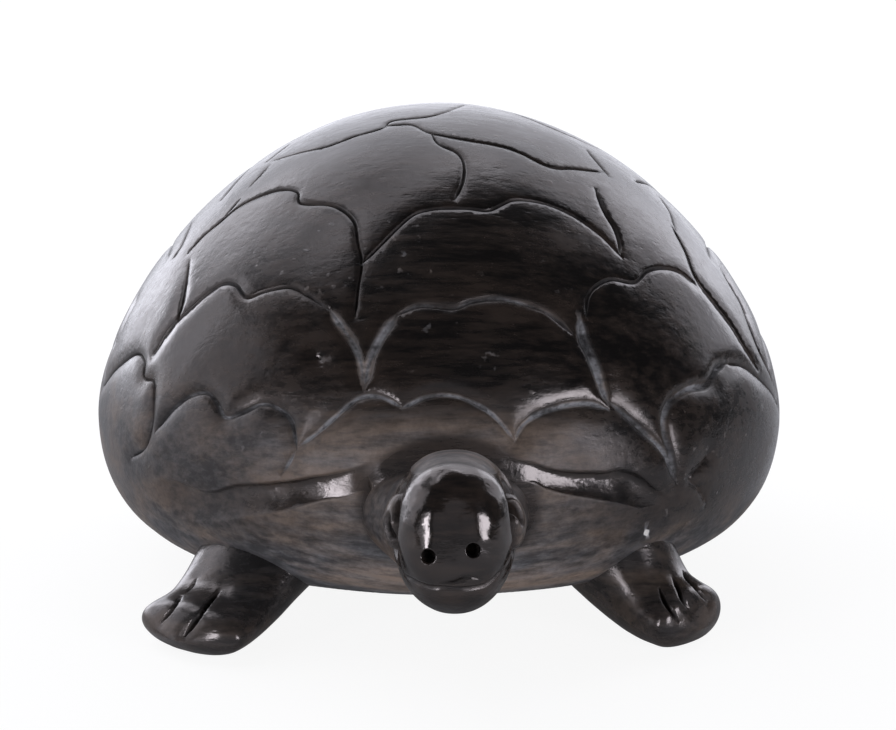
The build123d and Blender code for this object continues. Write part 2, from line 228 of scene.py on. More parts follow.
# A strength, a wavelength in millimetres and a seed for each. Dents and the face's waves are millimetres deep
PRESS_WAVES = ((0.16, 9.0, 7), (0.10, 3.0, 8))
DUST_WAVES = ((0.9, 6.0, 9),)
SHELL_DENTS = ((0.16, 26.0, 3), (0.05, 9.0, 4))
TROUGH_DENTS = ((0.05, 4.0, 12),)
LIMB_DENTS = ((0.07, 11.0, 5), (0.025, 4.0, 6))
FACE_WAVES = ((0.12, 6.0, 11), (0.05, 2.6, 13))

# Points on the two curves of the shell's profile, and where its search tree starts
DOME_POINTS, UNDER_POINTS = 400, 300
CROWN_START = 0.5 * MM

# The shell's mesh: rows beside a cut, in half widths of the cut, and rows beside the trough's edges
CUT_ROWS = (0.0, 0.5, 1.0, 1.5)
EDGE_ROWS = (0.0, 0.35, 0.8, 1.6)
EDGE_HALF = 0.5 * MM
ROW_GRID = 0.10 * MM
CLEAR_OF_CUT = 0.30 * MM
CLEAR_OF_EDGE = 1.1 * MM
CLEAR_OF_BELLY = 0.5 * MM
# Distance between points on the dome and below it, the share of the rim's run where it changes, how much
# closer points lie along a ring, and rings against that distance
DOME_STEP, UNDER_STEP = 0.62 * MM, 1.0 * MM
DOME_STEP_END = 1.06
RING_CROWD, RING_GAP = 1.05, 0.87
LAST_RING = 0.3 * MM
BELLY_SIDES = 220
BELLY_RINGS = (0.8, 0.6, 0.4, 0.2)
BELLY_EDGE = 6.0 * MM

# Rear seams: half width, depth and dust, the degrees aside from the front where they start, the points of an
# arch, the height that it is dropped onto the dome from, and the points that are too few for a seam
REAR_SEAM = (0.36 * MM, 0.6 * MM, 0.1)
REAR_FROM = 82.0
ARCH_POINTS = 80
ARCH_DROP = 15.0 * MM
FEWEST_POINTS = 4

# Shares of the run from crown to rim between which a change of the surface comes in or goes out
LOWEST_ROW = (0.58, 0.72)
LIPS_END = (0.84, 0.78)
PLATES_END = (0.97, 1.12)
# Where the paler band of hazy wax and painted light begins
HAZE_AND_LIGHT_START = (0.79, 0.95)
UNDERSIDE = (1.05, 1.20)

# The trough: shares of the way across it, then degrees aside from the front
TROUGH_WALL = (0.0, 0.16)
TROUGH_DEEPEST = 0.2
LEDGE_LIP, LOWER_LIP = (0.0, 0.10), (1.0, 0.93)
TROUGH_LEAST = 0.3 * MM
TROUGH_FADE = 9.0
TROUGH_DEEPENS = (9.0, 26.0)
NECK_SIDE = (9.0, 12.0)
# Where the trough is rubbed bright: degrees aside, spread, and the rub elsewhere, which also takes that share
# of the paleness out of the whole trough so that the hollow is darker, as painted shade
RUB_ASIDE, RUB_SPREAD, TROUGH_RUB_AND_SHADE = 20.0, 11.0, 0.3
TROUGH_GLOSS = 0.6
# Polished lips of the lowest plates: place beside the seam, width and gloss
LIP_ASIDE, LIP_WIDTH = 1.1 * MM, 0.8 * MM
LIP_GLOSS = 0.8
# Dust fades out across a seam between these shares of its half width
SEAM_DUST = (1.15, 0.4)
LIMB_DUST = (1.6, 0.4)

# Hazy wax and painted light on the shell, by place: partly hazy wax, partly painted light that is paler
# towards the rim and under it as a painted reflection of the pale floor, paler at the front as painted
# front light, and darker on the turtle's left shoulder as painted shade. Spreads and the turtle's left
# shoulder are in degrees
HAZE_AND_PAINTED_LIGHT = {"all round": 0.18, "front": 0.48, "shoulder": -0.18, "under": 0.08, "breast": 0.60}
FRONT_SPREAD, BREAST_SPREAD = 20.0, 45.0
SHOULDER_FRONT, SHOULDER_REAR = (-76.0, -52.0), (60.0, 30.0)
# The painted shadow in the crease round the neck: middle across and up, half width and half height, edge,
# and how dark the painted shadow is
NECK_MIDDLE = (1.5 * MM, 22.0 * MM)
NECK_HALF = (11.8 * MM, 9.2 * MM)
CREASE_EDGE = (1.12, 0.95)
CREASE_PAINTED_SHADOW = 0.95

# The head's superellipses: powers in plan, in side view and of the section above and below
PLAN_POWER, SIDE_POWER = 2.8, 3.0
CROWN_POWER, CHIN_POWER = 2.2, 2.1
NOSE_START = 0.012
NECK_FLARE = 1.3
NAPE_SOFT, NAPE_REACH = 1.2 * MM, 4.0 * MM
# The neck turns level from here back, and its root keeps this share of the head's place aside
LEVEL_FROM = 3.0 * MM
ROOT_ASIDE = 0.4

# The face in millimetres of the head's own frame: X to the turtle's left, Y back, Z up
FACE_STARTS = (-5.0, -10.0)
VALLEY_DEPTH, VALLEY_ASIDE, VALLEY_WIDTH = 0.50, -0.2, 1.7
VALLEY_TOP, VALLEY_FOOT = (7.0, 3.0), (-6.2, -4.0)
CHIN, CHIN_RAW = (-6.5, -8.0), 0.45
# The top of the head is made paler as a painted reflection of the light overhead
CROWN, CROWN_FRONT, CROWN_PAINTED_REFLECTION = (7.2, 9.4), (-9.0, -6.0), 0.55
# The neck is made paler towards its back
NAPE, NAPE_PALER = (2.0, 6.0), 0.20
NOSTRILS_ASIDE, NOSTRIL_TILT, NOSTRIL_DEPTH = -0.5, 0.4, 2.2
HOLE_EDGE = (1.15, 0.85)
TEMPLE = (3.0, 5.0)
ALMOND_UP, ALMOND_ALONG = 1.35, 1.9
MOAT_AT, MOAT_WIDTH, MOAT_DEPTH, MOAT_RAW = 1.25, 0.30, 0.85, 0.6
BALL_RISE = 1.35
# The eyes are made paler as a painted reflection of the side lamps
EYE_EDGE, EYE_PAINTED_REFLECTION = (1.0, 0.8), 0.16
PUPIL_FORWARD, PUPIL_STRETCH, PUPIL_EDGE, PUPIL_DEPTH = 1.5, 2.0, (0.95, 0.65), 0.8
PUPIL_RISES = {-1: -0.6, 1: 1.2}

# Limbs fall to their cuts by this much over this distance
LIMB_PILLOW, LIMB_PILLOW_REACH = 0.18 * MM, 1.1 * MM
# Gloss and haze of the wax on the limbs
HEAD_GLOSS = 0.85
FRONT_WAX, REAR_WAX = (0.7, 0.10), (0.3, 0.15)

# Stations of a leg from the hip to the tip of the toes, as shares of the leg's sizes, and slopes in degrees
LEG_RUNS = (0.0, 0.295, 0.59, 0.83, 1.0)
LEG_HEIGHTS = (1.0, 0.647, 0.345, 0.257, 0.20)
LEG_WIDTHS = (1.0, 0.805, 0.76, 0.81, 0.72)
LEG_DEPTHS = (1.0, 0.87, 0.63, 0.53, 0.42)
LEG_SLOPES = (38.0, 38.0, 20.0, 15.0, 8.0)
LEG_STEPS = 60
# The carver's hand: turn in degrees, reach, width and depth of each side's legs against the common leg
LEG_HAND = {-1: (-5.0, 1.045, 1.07, 0.93), 1: (6.0, 0.885, 0.83, 1.16)}
TOE_TIP, TOE_ROUND = 0.80, 0.7
SOLE_SOFT = 0.5 * MM

# The tail's curve, as shares of its length and half width, and the knife line along its top
TAIL_FULL, TAIL_TIP = 0.35, 0.3
TAIL_LINE = np.linspace(0.45, 0.95, 40)
TAIL_CUT = (0.3 * MM, 0.3 * MM)

# Patterns of the wood: cycles in a metre along X, Y and Z, or all round
BANDS = (28.0, 150.0, 190.0)
THREADS = (140.0, 800.0, 1000.0)
PORES = (260.0, 900.0, 900.0)
CLOUD, MOTTLE, SPECKS, FINE = 38.0, 420.0, 620.0, 1400.0
DOWEL_STREAKS = (700.0, 700.0, 160.0)
DOWEL_DARK = 0.55
BUMP_DEPTH, DOWEL_BUMP = 0.22 * MM, 0.10 * MM


def length(name, words, millimetres):
    """A length property, given in millimetres and held in metres."""
    return FloatProperty(name=name, description=words, default=millimetres * MM, unit="LENGTH", precision=5)


def share(name, words, value):
    """A plain ratio between nought and one."""
    return FloatProperty(name=name, description=words, default=value, min=0.0, max=1.0, subtype="FACTOR")


def tint(name, words, value):
    """A linear colour."""
    return FloatVectorProperty(
        name=name, description=words, default=value, size=3, min=0.0, max=1.0, subtype="COLOR")


def slant(name, words, degrees):
    """An angle property, given in degrees and held in radians."""
    return FloatProperty(name=name, description=words, default=radians(degrees), unit="ROTATION")


class TurtleShellSizes(bpy.types.PropertyGroup):
    """The block of the shell, as the solid has it, and its carving."""

    middle_y: length("Widest section", "Place of the widest section along the turtle", 3.5)
    width: length("Width", "Overall width of the shell", 100.0)
    front: length("Front", "From the widest section forward", 50.0)
    rear: length("Rear", "From the widest section back", 58.0)
    top: length("Crown", "Height of the crown above the floor", 67.0)
    rim: length("Rim", "Height of the widest line above the floor", 22.6)
    belly: length("Belly", "Height of the flat belly above the floor", 6.3)
    belly_width: length("Belly width", "Width of the flat belly", 76.0)
    dome_side: share("Dome side", "Upright run of the dome at the rim", 0.32)
    dome_crown: share("Dome crown", "Level run of the dome at the crown", 0.60)
    under_side: share("Underside side", "Upright run of the underside at the rim", 0.66)
    under_flat: share("Underside flat", "Level run of the underside at the belly", 0.46)
    seam_width: share("Seam width", "Width of the seams against the widths listed", 0.95)
    pillow: length("Pillow", "How far a plate falls towards its seams", 0.07)
    rolled: length("Rolled", "How far the plates of the lowest row fall towards their seams", 0.40)
    pillow_reach: length("Pillow reach", "Distance over which a plate falls", 1.0)
    rolled_reach: length("Rolled reach", "Distance over which a plate of the lowest row falls", 1.5)
    trough_depth: length("Trough depth", "Depth of the trough along the front", 0.95)


class TurtleHeadSizes(bpy.types.PropertyGroup):
    """Head and neck, as the solid has them, and the face."""

    middle_y: length("Middle", "Place of the head's widest section along the turtle", -58.5)
    height: length("Height", "Height of the middle of the head", 22.5)
    pitch: slant("Pitch", "Nose up", 10.0)
    aside: length("Aside", "Head off the middle line, to the turtle's left", 2.1)
    width: length("Width", "Width of the head without its eyes", 16.2)
    depth: length("Depth", "Depth of the head from crown to chin", 20.8)
    nose: length("Nose", "From the widest section to the nose", 12.5)
    back: length("Back", "From the widest section to the back of the skull", 12.0)
    neck_width: length("Neck width", "Width of the neck behind the head", 15.0)
    neck_depth: length("Neck depth", "Depth of the neck behind the head", 16.0)
    root_width: length("Root width", "Width of the neck in the shell", 23.0)
    root_depth: length("Root depth", "Depth of the neck in the shell", 14.0)
    root_drop: length("Root drop", "Middle of the neck's root below the middle of the head", 2.0)
    root_reach: length("Root reach", "From the head's middle to the neck's end in the shell", 16.0)
    eye_length: length("Eye length", "Length of an eye from front to back", 5.6)
    eye_height: length("Eye height", "Height of an eye", 7.4)
    eye_forward: length("Eye forward", "Eye ahead of the head's widest section", 4.2)
    eye_rise: length("Eye rise", "Eye above the middle of the head", 1.7)
    nostril_radius: length("Nostril radius", "Radius of a drilled nostril", 0.85)
    nostril_spacing: length("Nostril spacing", "Distance between the nostrils", 5.7)
    nostril_drop: length("Nostril drop", "Nostrils below the middle of the head", 1.5)


class TurtleLegSizes(bpy.types.PropertyGroup):
    """A leg, as the solid has it."""

    hip_out: length("Hip out", "Hip from the middle line", 22.0)
    front_hip: length("Front hip", "Front hip ahead of the shell's widest section", 29.3)
    rear_hip: length("Rear hip", "Rear hip behind the shell's widest section", 33.06)
    splay: slant("Splay", "Leg's turn outwards", 42.0)
    reach: length("Reach", "From the hip to the tip of the toes", 21.5)
    hip_height: length("Hip height", "Height of the hip", 13.6)
    hip_width: length("Hip width", "Width of the leg at the hip", 20.5)
    hip_depth: length("Hip depth", "Depth of the leg at the hip", 15.5)


class TurtleTailSizes(bpy.types.PropertyGroup):
    """The tail, as the solid has it."""

    root_y: length("Root", "Place of the tail's root along the turtle", 51.5)
    reach: length("Reach", "Length of the tail", 20.0)
    width: length("Width", "Width of the tail at its root", 9.0)
    height: length("Height", "Height of the tail's middle", 13.0)


class TurtleFinish(bpy.types.PropertyGroup):
    """Colours and gloss of the wood."""

    dark_wood: tint("Dark wood", "Dark bands of the ebony", (0.0042, 0.0037, 0.0035))
    brown_wood: tint("Brown wood", "Brown streaks of the ebony", (0.022, 0.0155, 0.0120))
    # These two colours also paint light, making the wood paler where the dust mark holds painted light
    dust: tint("Dust", "Grey dust in the cuts and in dull wax", (0.236, 0.234, 0.240))
    raw_wood: tint("Raw wood", "Brown raw wood in the cuts and under dull wax", (0.30, 0.228, 0.178))
    chip: tint("Chip", "Pale bare wood in a chip", (0.75, 0.72, 0.68))
    gleam: tint("Gleam", "Tint of what the wax mirrors face on", (1.0, 0.90, 0.86))
    dowel: tint("Dowel", "Plain dowel wood", (0.32, 0.21, 0.13))
    floor: tint("Floor", "Pale studio floor", (0.9, 0.9, 0.9))
    clear_wax: share("Clear wax", "Roughness of the wax where it is clear", 0.17)
    cloudy_wax: share("Cloudy wax", "Roughness of the wax where it is cloudy", 0.30)
    rubbed_wax: share("Rubbed wax", "Roughness of the wax where it is rubbed bright", 0.13)
    dull_wax: share("Dull wax", "Roughness of the wax where it is dull", 0.45)
    raw_cut: share("Raw cut", "Roughness of raw wood in a cut", 0.75)
    wax_mirror: share("Wax mirror", "How strongly the wax mirrors", 0.5)
    rubbed_mirror: share("Rubbed mirror", "How strongly rubbed wax mirrors", 0.85)
    dull_mirror: share("Dull mirror", "How strongly dull wax mirrors", 0.32)
    raw_mirror: share("Raw mirror", "How strongly raw wood mirrors", 0.10)
    wax_index: FloatProperty(name="Wax index", description="Refractive index of the wax", default=1.52)
    relief: share("Relief", "Strength of the pores and fibres", 0.32)


class TurtleStage(bpy.types.PropertyGroup):
    """The camera of the photograph."""

    target_x: length("Target across", "Point that the camera looks at", 1.26)
    target_z: length("Target up", "Height of that point", 28.9)
    distance: length("Distance", "From the camera to that point", 480.0)
    elevation: slant("Elevation", "Camera above level", 14.0)
    focal: FloatProperty(name="Lens", description="Focal length in millimetres", default=131.8)


def bezier(corners, count):
    """Cubic curve through its two ends, with the two handles between them, at even parameters."""
    t = np.linspace(0.0, 1.0, count)[:, None]
    a, b, c, d = (np.array(corner, float) for corner in corners)
    return (1 - t) ** 3 * a + 3 * (1 - t) ** 2 * t * b + 3 * (1 - t) * t**2 * c + t**3 * d


def smooth_step(low, high, value):
    """Nought below low, one above high, and the cubic 3t2 - 2t3 between."""
    t = np.clip((value - low) / (high - low), 0.0, 1.0)
    return t * t * (3 - 2 * t)


def smooth_max(a, b, soft):
    """The larger of two values, with the corner between them rounded over about soft."""
    return 0.5 * (a + b + np.sqrt((a - b) ** 2 + soft**2))


def bell(value, spread):
    """One at nought, falling off both ways as e to the minus square of value over spread."""
    return np.exp(-((value / spread) ** 2))


def off_front(turn):
    """Degrees that a turn round Z lies aside from straight ahead, either way."""
    return np.degrees(np.abs((turn + tau * 3 / 4) % tau - tau / 2))


def flowing(points, count):
    """A Catmull-Rom curve through the points: count even steps between each two."""
    p = np.array(points, float)
    p = np.vstack([2 * p[0] - p[1], p, 2 * p[-1] - p[-2]])
    t = np.linspace(0.0, 1.0, count, endpoint=False)[None, :, None]
    a, b, c, d = (p[i : len(p) - 3 + i, None, :] for i in range(4))
    curve = 0.5 * (2 * b + (c - a) * t + (2 * a - 5 * b + 4 * c - d) * t**2 + (3 * b - a - 3 * c + d) * t**3)
    return np.vstack([curve.reshape(-1, p.shape[1]), p[-2]])


def even_steps(points, step):
    """The same line with points at equal distances of about step."""
    gaps = np.linalg.norm(np.diff(points, axis=0), axis=1)
    run = np.concatenate([[0.0], np.cumsum(gaps)])
    places = np.linspace(0.0, run[-1], max(int(round(run[-1] / step)), 3) + 1)
    return np.stack([np.interp(places, run, points[:, i]) for i in range(points.shape[1])], axis=1)


def ripple(points, wavelength, seed, waves=9):
    """Soft unevenness of hand work: the mean of sine waves in seeded directions, mostly from -1 to 1."""
    chance = np.random.RandomState(seed)
    ways = chance.normal(size=(waves, 3))
    ways *= (tau / wavelength * chance.uniform(*RIPPLE_SPREAD, waves) / np.linalg.norm(ways, axis=1))[:, None]
    return np.sin(points @ ways.T + chance.uniform(0, tau, waves)).mean(axis=1) * RIPPLE_GAIN


def hand_work(points, waves):
    """The sum of ripples, each with its strength, wavelength in millimetres and seed."""
    return sum(strength * ripple(points, wavelength * MM, seed) for strength, wavelength, seed in waves)


def dents(points, waves):
    """Depth of the dents of hand work: ripples, sunk by their strengths so that they hardly stand out."""
    return MM * (hand_work(points, waves) + sum(strength for strength, *_ in waves))


def camera_axes(stage):
    """Place of the photograph's camera, and its right, up and forward directions."""
    middle_y = bpy.context.scene.turtle_shell.middle_y
    forward = np.array([0.0, cos(stage.elevation), -sin(stage.elevation)])
    up = np.array([0.0, sin(stage.elevation), cos(stage.elevation)])
    place = np.array([stage.target_x, middle_y, stage.target_z]) - forward * stage.distance
    return place, np.array([1.0, 0.0, 0.0]), up, forward


def onto(tree, pixels):
    """Points where the camera's rays through these pixels first meet a surface; misses are left out."""
    stage = bpy.context.scene.turtle_stage
    place, right, up, forward = camera_axes(stage)
    scale = SENSOR / PHOTO_WIDTH / stage.focal
    across = (pixels[:, :1] - PHOTO_WIDTH / 2) * scale
    down = (pixels[:, 1:] - PHOTO_HEIGHT / 2) * scale
    rays = forward + across * right - down * up
    hits = [tree.ray_cast(Vector(place), Vector(ray))[0] for ray in rays]
    return np.array([hit for hit in hits if hit is not None])


class Cuts:
    """Lines that a knife or gouge ran along: points, half widths, depths and the dust left in them."""

    def __init__(self, lines=()):
        self.lines = list(lines)

    def add(self, points, half_width, depth, dust=0.0):
        """A line that runs out at both ends, with a hand's small changes of pressure and dust in patches."""
        run = np.concatenate([[0.0], np.cumsum(np.linalg.norm(np.diff(points, axis=0), axis=1))])
        ends = np.minimum(run, run[-1] - run)
        taper = min(RUN_OUT, run[-1] / 2 + TINY)
        fade = RUN_OUT_LEAST + (1 - RUN_OUT_LEAST) * smooth_step(0.0, taper, ends)
        press = fade * (1 + hand_work(points, PRESS_WAVES))
        patchy = np.clip(1 + hand_work(points, DUST_WAVES), 0.0, DUST_MOST)
        lying = np.minimum(dust * fade * patchy, max(dust, 1.0))
        self.lines.append((points, half_width * press, depth * press, lying))

    def gathered(self):
        """All points, half widths, depths and dust in one array each, and each point's two neighbours."""
        points = np.vstack([line[0] for line in self.lines])
        half, depth, dust = (np.concatenate([line[i] for line in self.lines]) for i in (1, 2, 3))
        ahead = np.vstack([np.vstack([line[0][1:], line[0][-1:]]) for line in self.lines])
        behind = np.vstack([np.vstack([line[0][:1], line[0][:-1]]) for line in self.lines])
        return points, half, depth, dust, ahead, behind


def to_segment(points, start, end):
    """Distance from each point to its own segment."""
    way = end - start
    size = np.maximum((way**2).sum(axis=1), TINY**2)
    t = np.clip(((points - start) * way).sum(axis=1) / size, 0.0, 1.0)
    return np.linalg.norm(points - start - way * t[:, None], axis=1)


def nearest(points, places, block=4000):
    """Index of the nearest of the places for each point, worked out block by block."""
    found = np.empty(len(points), int)
    size = (places**2).sum(axis=1)
    for start in range(0, len(points), block):
        part = points[start : start + block]
        found[start : start + block] = np.argmin(size[None, :] - 2 * part @ places.T, axis=1)
    return found


def cut_by(points, cuts):
    """Distance to the nearest cut, with that cut's half width, depth and dust there."""
    line, half, depth, dust, ahead, behind = cuts.gathered()
    at = nearest(points, line)
    gap = np.minimum(to_segment(points, line[at], ahead[at]), to_segment(points, behind[at], line[at]))
    return gap, half[at], depth[at], dust[at]


def groove(gap, half, depth):
    """Depth of a V cut with eased lips: full at its line, a fifth at its half width, nought soon past it."""
    t = np.clip(1.0 - gap / (GROOVE_SPREAD * half), 0.0, 1.0)
    return depth * t**GROOVE_POWER


def add_piece(name, vertices, faces, node, marks, material):
    """A finished mesh piece that stands for a node: smooth faces, its marks and its material."""
    mesh = bpy.data.meshes.new(name)
    mesh.from_pydata(vertices.tolist(), [], faces)
    mesh.polygons.foreach_set("use_smooth", np.ones(len(mesh.polygons), bool))
    for column, mark in enumerate(MARKS):
        values = np.ascontiguousarray(marks[:, column], dtype=np.float32)
        mesh.attributes.new(mark, "FLOAT", "POINT").data.foreach_set("value", values)
    mesh.materials.append(material)
    mesh.update()
    piece = bpy.data.objects.new(name, mesh)
    bpy.context.scene.collection.objects.link(piece)
    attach(piece, "root")
    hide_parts(node)
    return piece


def tube_faces(rings, sides):
    """Quads of a closed tube of rings, with a fan on a point at each end: the two points come last."""
    ring, side = np.meshgrid(np.arange(rings - 1), np.arange(sides), indexing="ij")
    a = ring * sides + side
    b = ring * sides + (side + 1) % sides
    quads = np.stack([a, b, b + sides, a + sides], axis=-1).reshape(-1, 4).tolist()
    around = np.arange(sides)
    nose = np.stack([np.full(sides, rings * sides), (around + 1) % sides, around], axis=-1).tolist()
    last = (rings - 1) * sides
    tail = np.stack([np.full(sides, rings * sides + 1), last + around, last + (around + 1) % sides], axis=-1)
    return quads + nose + tail.tolist()


def grid_normals(grid):
    """Outward unit normals of a tube's grid of points, rings by sides, from its central differences."""
    along = np.gradient(grid, axis=0)
    around = np.roll(grid, -1, axis=1) - np.roll(grid, 1, axis=1)
    normal = np.cross(around, along)
    return normal / np.maximum(np.linalg.norm(normal, axis=2, keepdims=True), TINY)


class ShellForm:
    """The shell's block: a profile of two cubic curves turned about Z and stretched along Y by one length
    ahead of the widest section and another behind it. Run is the way down the profile from the crown."""

    def __init__(self, sizes):
        half, flat = sizes.width / 2, sizes.belly_width / 2
        rise, drop = sizes.top - sizes.rim, sizes.rim - sizes.belly
        dome = bezier(
            [(0, sizes.top), (half * sizes.dome_crown, sizes.top),
             (half, sizes.rim + rise * sizes.dome_side), (half, sizes.rim)], DOME_POINTS)
        under = bezier(
            [(half, sizes.rim), (half, sizes.rim - drop * sizes.under_side),
             (flat + (half - flat) * sizes.under_flat, sizes.belly), (flat, sizes.belly)], UNDER_POINTS)
        self.profile = np.vstack([dome, under[1:]])
        steps = np.linalg.norm(np.diff(self.profile, axis=0), axis=1)
        self.runs = np.concatenate([[0.0], np.cumsum(steps)])
        self.rim_run = self.runs[len(dome) - 1]
        self.end_run = self.runs[-1]
        slope = np.gradient(self.profile, self.runs, axis=0)
        self.facing = np.stack([-slope[:, 1], slope[:, 0]], axis=1)
        self.angles = np.arctan2(self.profile[:, 0], self.profile[:, 1] - sizes.rim)
        self.sizes = sizes

    def stretch(self, turn):
        """How much the plan is stretched along Y on this side of the widest section."""
        half = self.sizes.width / 2
        return np.where(np.sin(turn) < 0, self.sizes.front, self.sizes.rear) / half

    def at(self, run, turn):
        """Points of the block."""
        radius = np.interp(run, self.runs, self.profile[:, 0])
        height = np.interp(run, self.runs, self.profile[:, 1])
        across = radius * np.cos(turn)
        along = self.sizes.middle_y + radius * np.sin(turn) * self.stretch(turn)
        return np.stack([across, along, height], axis=-1)

    def normal(self, run, turn):
        """Outward unit normals of the block."""
        out = np.interp(run, self.runs, self.facing[:, 0])
        up = np.interp(run, self.runs, self.facing[:, 1])
        way = np.stack([out * np.cos(turn), out * np.sin(turn) / self.stretch(turn), up], axis=-1)
        return way / np.linalg.norm(way, axis=-1, keepdims=True)

    def arch(self, tree, start, end, end_share, top_share):
        """An arc through three places on the dome, given by turns and shares of the run to the rim: a circle
        in the plane that touches the dome at the middle place, dropped square onto the dome."""
        turns = np.array([start, (start + end) / 2, end])
        runs = np.array([end_share, top_share, end_share]) * self.rim_run
        first, top, last = self.at(runs, turns)
        facing = self.normal(runs[1], turns[1])
        level = np.array([-sin(turns[1]), cos(turns[1]), 0.0])
        level -= facing * (level @ facing)
        level /= np.linalg.norm(level)
        plane = np.stack([level, np.cross(facing, level)])
        ends = np.stack([first - top, last - top]) @ plane.T
        centre = np.linalg.solve(2 * ends, (ends**2).sum(axis=1))
        middle = np.arctan2(-centre[1], -centre[0])
        sides = np.arctan2(ends[:, 1] - centre[1], ends[:, 0] - centre[0]) - middle
        sides = (sides + tau / 2) % tau - tau / 2
        angle = middle + np.linspace(sides[0], sides[1], ARCH_POINTS)
        drawn = centre + np.hypot(*centre) * np.stack([np.cos(angle), np.sin(angle)], axis=1)
        above = top + drawn @ plane + facing * ARCH_DROP
        return np.array([tree.ray_cast(Vector(point), Vector(-facing))[0] for point in above])

    def locate(self, points):
        """Run and turn of points on or near the block."""
        y = points[:, 1] - self.sizes.middle_y
        side = np.where(y < 0, self.sizes.front, self.sizes.rear) / (self.sizes.width / 2)
        turn = np.arctan2(y / side, points[:, 0])
        radius = np.hypot(points[:, 0], y / side)
        angle = np.arctan2(radius, points[:, 2] - self.sizes.rim)
        return np.interp(angle, self.angles, self.runs), turn

    def tree(self, rings=200, sides=360):
        """A search tree of the plain block, for finding what the camera sees."""
        runs = np.linspace(CROWN_START, self.end_run, rings)
        turns = np.arange(sides) * tau / sides
        return tube_tree(self.at(*np.meshgrid(runs, turns, indexing="ij")))


def shell_cuts(form):
    """The seams of the plates: those of the photograph, put on the block through the camera, and rows of
    like plates on the half that it doesn't see. Returns the cuts and the two edges of the front trough."""
    tree = form.tree()

    def drawn(pixels, step=SEAM_STEP):
        """A line of the photograph, on the block."""
        return form.at(*form.locate(even_steps(onto(tree, flowing(pixels, CURVE_STEPS)), step)))

    cuts = Cuts()
    for half_width, depth, dust, pixels in SHELL_SEAMS.values():
        cuts.add(drawn(pixels), half_width * form.sizes.seam_width * MM, depth * MM, dust)
    for half_width, depth, dust, pixels in FLAWS.values():
        cuts.add(drawn(pixels, FLAW_STEP), half_width * MM, depth * MM, dust)
    for turns, end_share, top_share in REAR_ROWS:
        for start, end in zip(turns, turns[1:]):
            line = form.arch(tree, radians(start), radians(end), end_share, top_share)
            line = line[off_front(form.locate(line)[1]) > REAR_FROM]
            if len(line) > FEWEST_POINTS:
                cuts.add(even_steps(line, SEAM_STEP), *REAR_SEAM)
    return cuts, [drawn(pixels) for pixels in (LEDGE, TROUGH_EDGE)]


def on_disc(run, turn):
    """Places on a disc whose radius is the run."""
    return np.stack([run * np.cos(turn), run * np.sin(turn)], axis=1)


def shell_rings(form):
    """Run and turn of points in rings down the block, each ring turned half a step from the last."""
    rings, run = [], 0.0
    while run < form.end_run - LAST_RING:
        radius = np.interp(run, form.runs, form.profile[:, 0])
        step = DOME_STEP if run < form.rim_run * DOME_STEP_END else UNDER_STEP
        count = max(int(tau * radius * RING_CROWD / step), 1)
        turn = (np.arange(count) + 0.5 * (len(rings) % 2)) * tau / count
        rings.append(np.stack([np.full(count, run), turn]))
        run += step * RING_GAP
    return np.hstack(rings)


def shell_points(form, cuts, edges):
    """Places of the shell's mesh points on the disc: the edge of the belly, rows beside every cut and the
    trough's edges, then rings that keep clear of those rows."""
    lines = [(points, half, CUT_ROWS) for points, half, *_ in cuts.lines]
    lines += [(edge, np.full(len(edge), EDGE_HALF), EDGE_ROWS) for edge in edges]
    rows = []
    for points, half, offsets in lines:
        side = np.cross(form.normal(*form.locate(points)), np.gradient(points, axis=0))
        side /= np.maximum(np.linalg.norm(side, axis=1, keepdims=True), TINY)
        for offset in sorted({sign * offset for offset in offsets for sign in (-1, 1)}):
            rows.append(points + side * (half * offset)[:, None])
    near = on_disc(*form.locate(np.vstack(rows)))
    _, keep = np.unique(np.round(near / ROW_GRID).astype(int), axis=0, return_index=True)
    near = near[np.sort(keep)]
    near = near[np.hypot(*near.T) < form.end_run - CLEAR_OF_BELLY]
    rings = shell_rings(form)
    points = form.at(*rings)
    gap, half, *_ = cut_by(points, cuts)
    clear = gap > CUT_ROWS[-1] * half + CLEAR_OF_CUT
    for edge in edges:
        clear &= np.linalg.norm(points - edge[nearest(points, edge)], axis=1) > CLEAR_OF_EDGE
    belly = on_disc(np.full(BELLY_SIDES, form.end_run), np.arange(BELLY_SIDES) * tau / BELLY_SIDES)
    return np.vstack([belly, near, on_disc(*rings[:, clear])])


def front_trough(run, turn, form, edges):
    """Depth of the trough along the front, and where it lies. Way is nought at the edge under the plates and
    one at the lower edge: the wall drops steeply to full depth, and a parabola climbs to the lower edge."""
    ledge, lower = (form.locate(edge) for edge in edges)
    along = (turn + tau * 3 / 4) % tau - tau * 3 / 4

    def run_beside(edge_run, edge_turn):
        """The run of an edge at each turn."""
        order = np.argsort(edge_turn)
        return np.interp(along, edge_turn[order], edge_run[order])

    top, foot = run_beside(*ledge), run_beside(*lower)
    way = (run - top) / np.maximum(foot - top, TROUGH_LEAST)
    first, last, fade = ledge[1].min(), ledge[1].max(), radians(TROUGH_FADE)
    strength = smooth_step(first, first + fade, along) * smooth_step(last, last - fade, along)
    aside = off_front(turn)
    wall = smooth_step(*TROUGH_WALL, way)
    floor = 1.0 - np.clip((way - TROUGH_DEEPEST) / (1 - TROUGH_DEEPEST), 0.0, 1.0) ** 2
    between = smooth_step(*LEDGE_LIP, way) * smooth_step(*LOWER_LIP, way)
    depth = form.sizes.trough_depth * wall * floor * strength * smooth_step(*TROUGH_DEEPENS, aside)
    return depth, strength * between * smooth_step(*NECK_SIDE, aside)


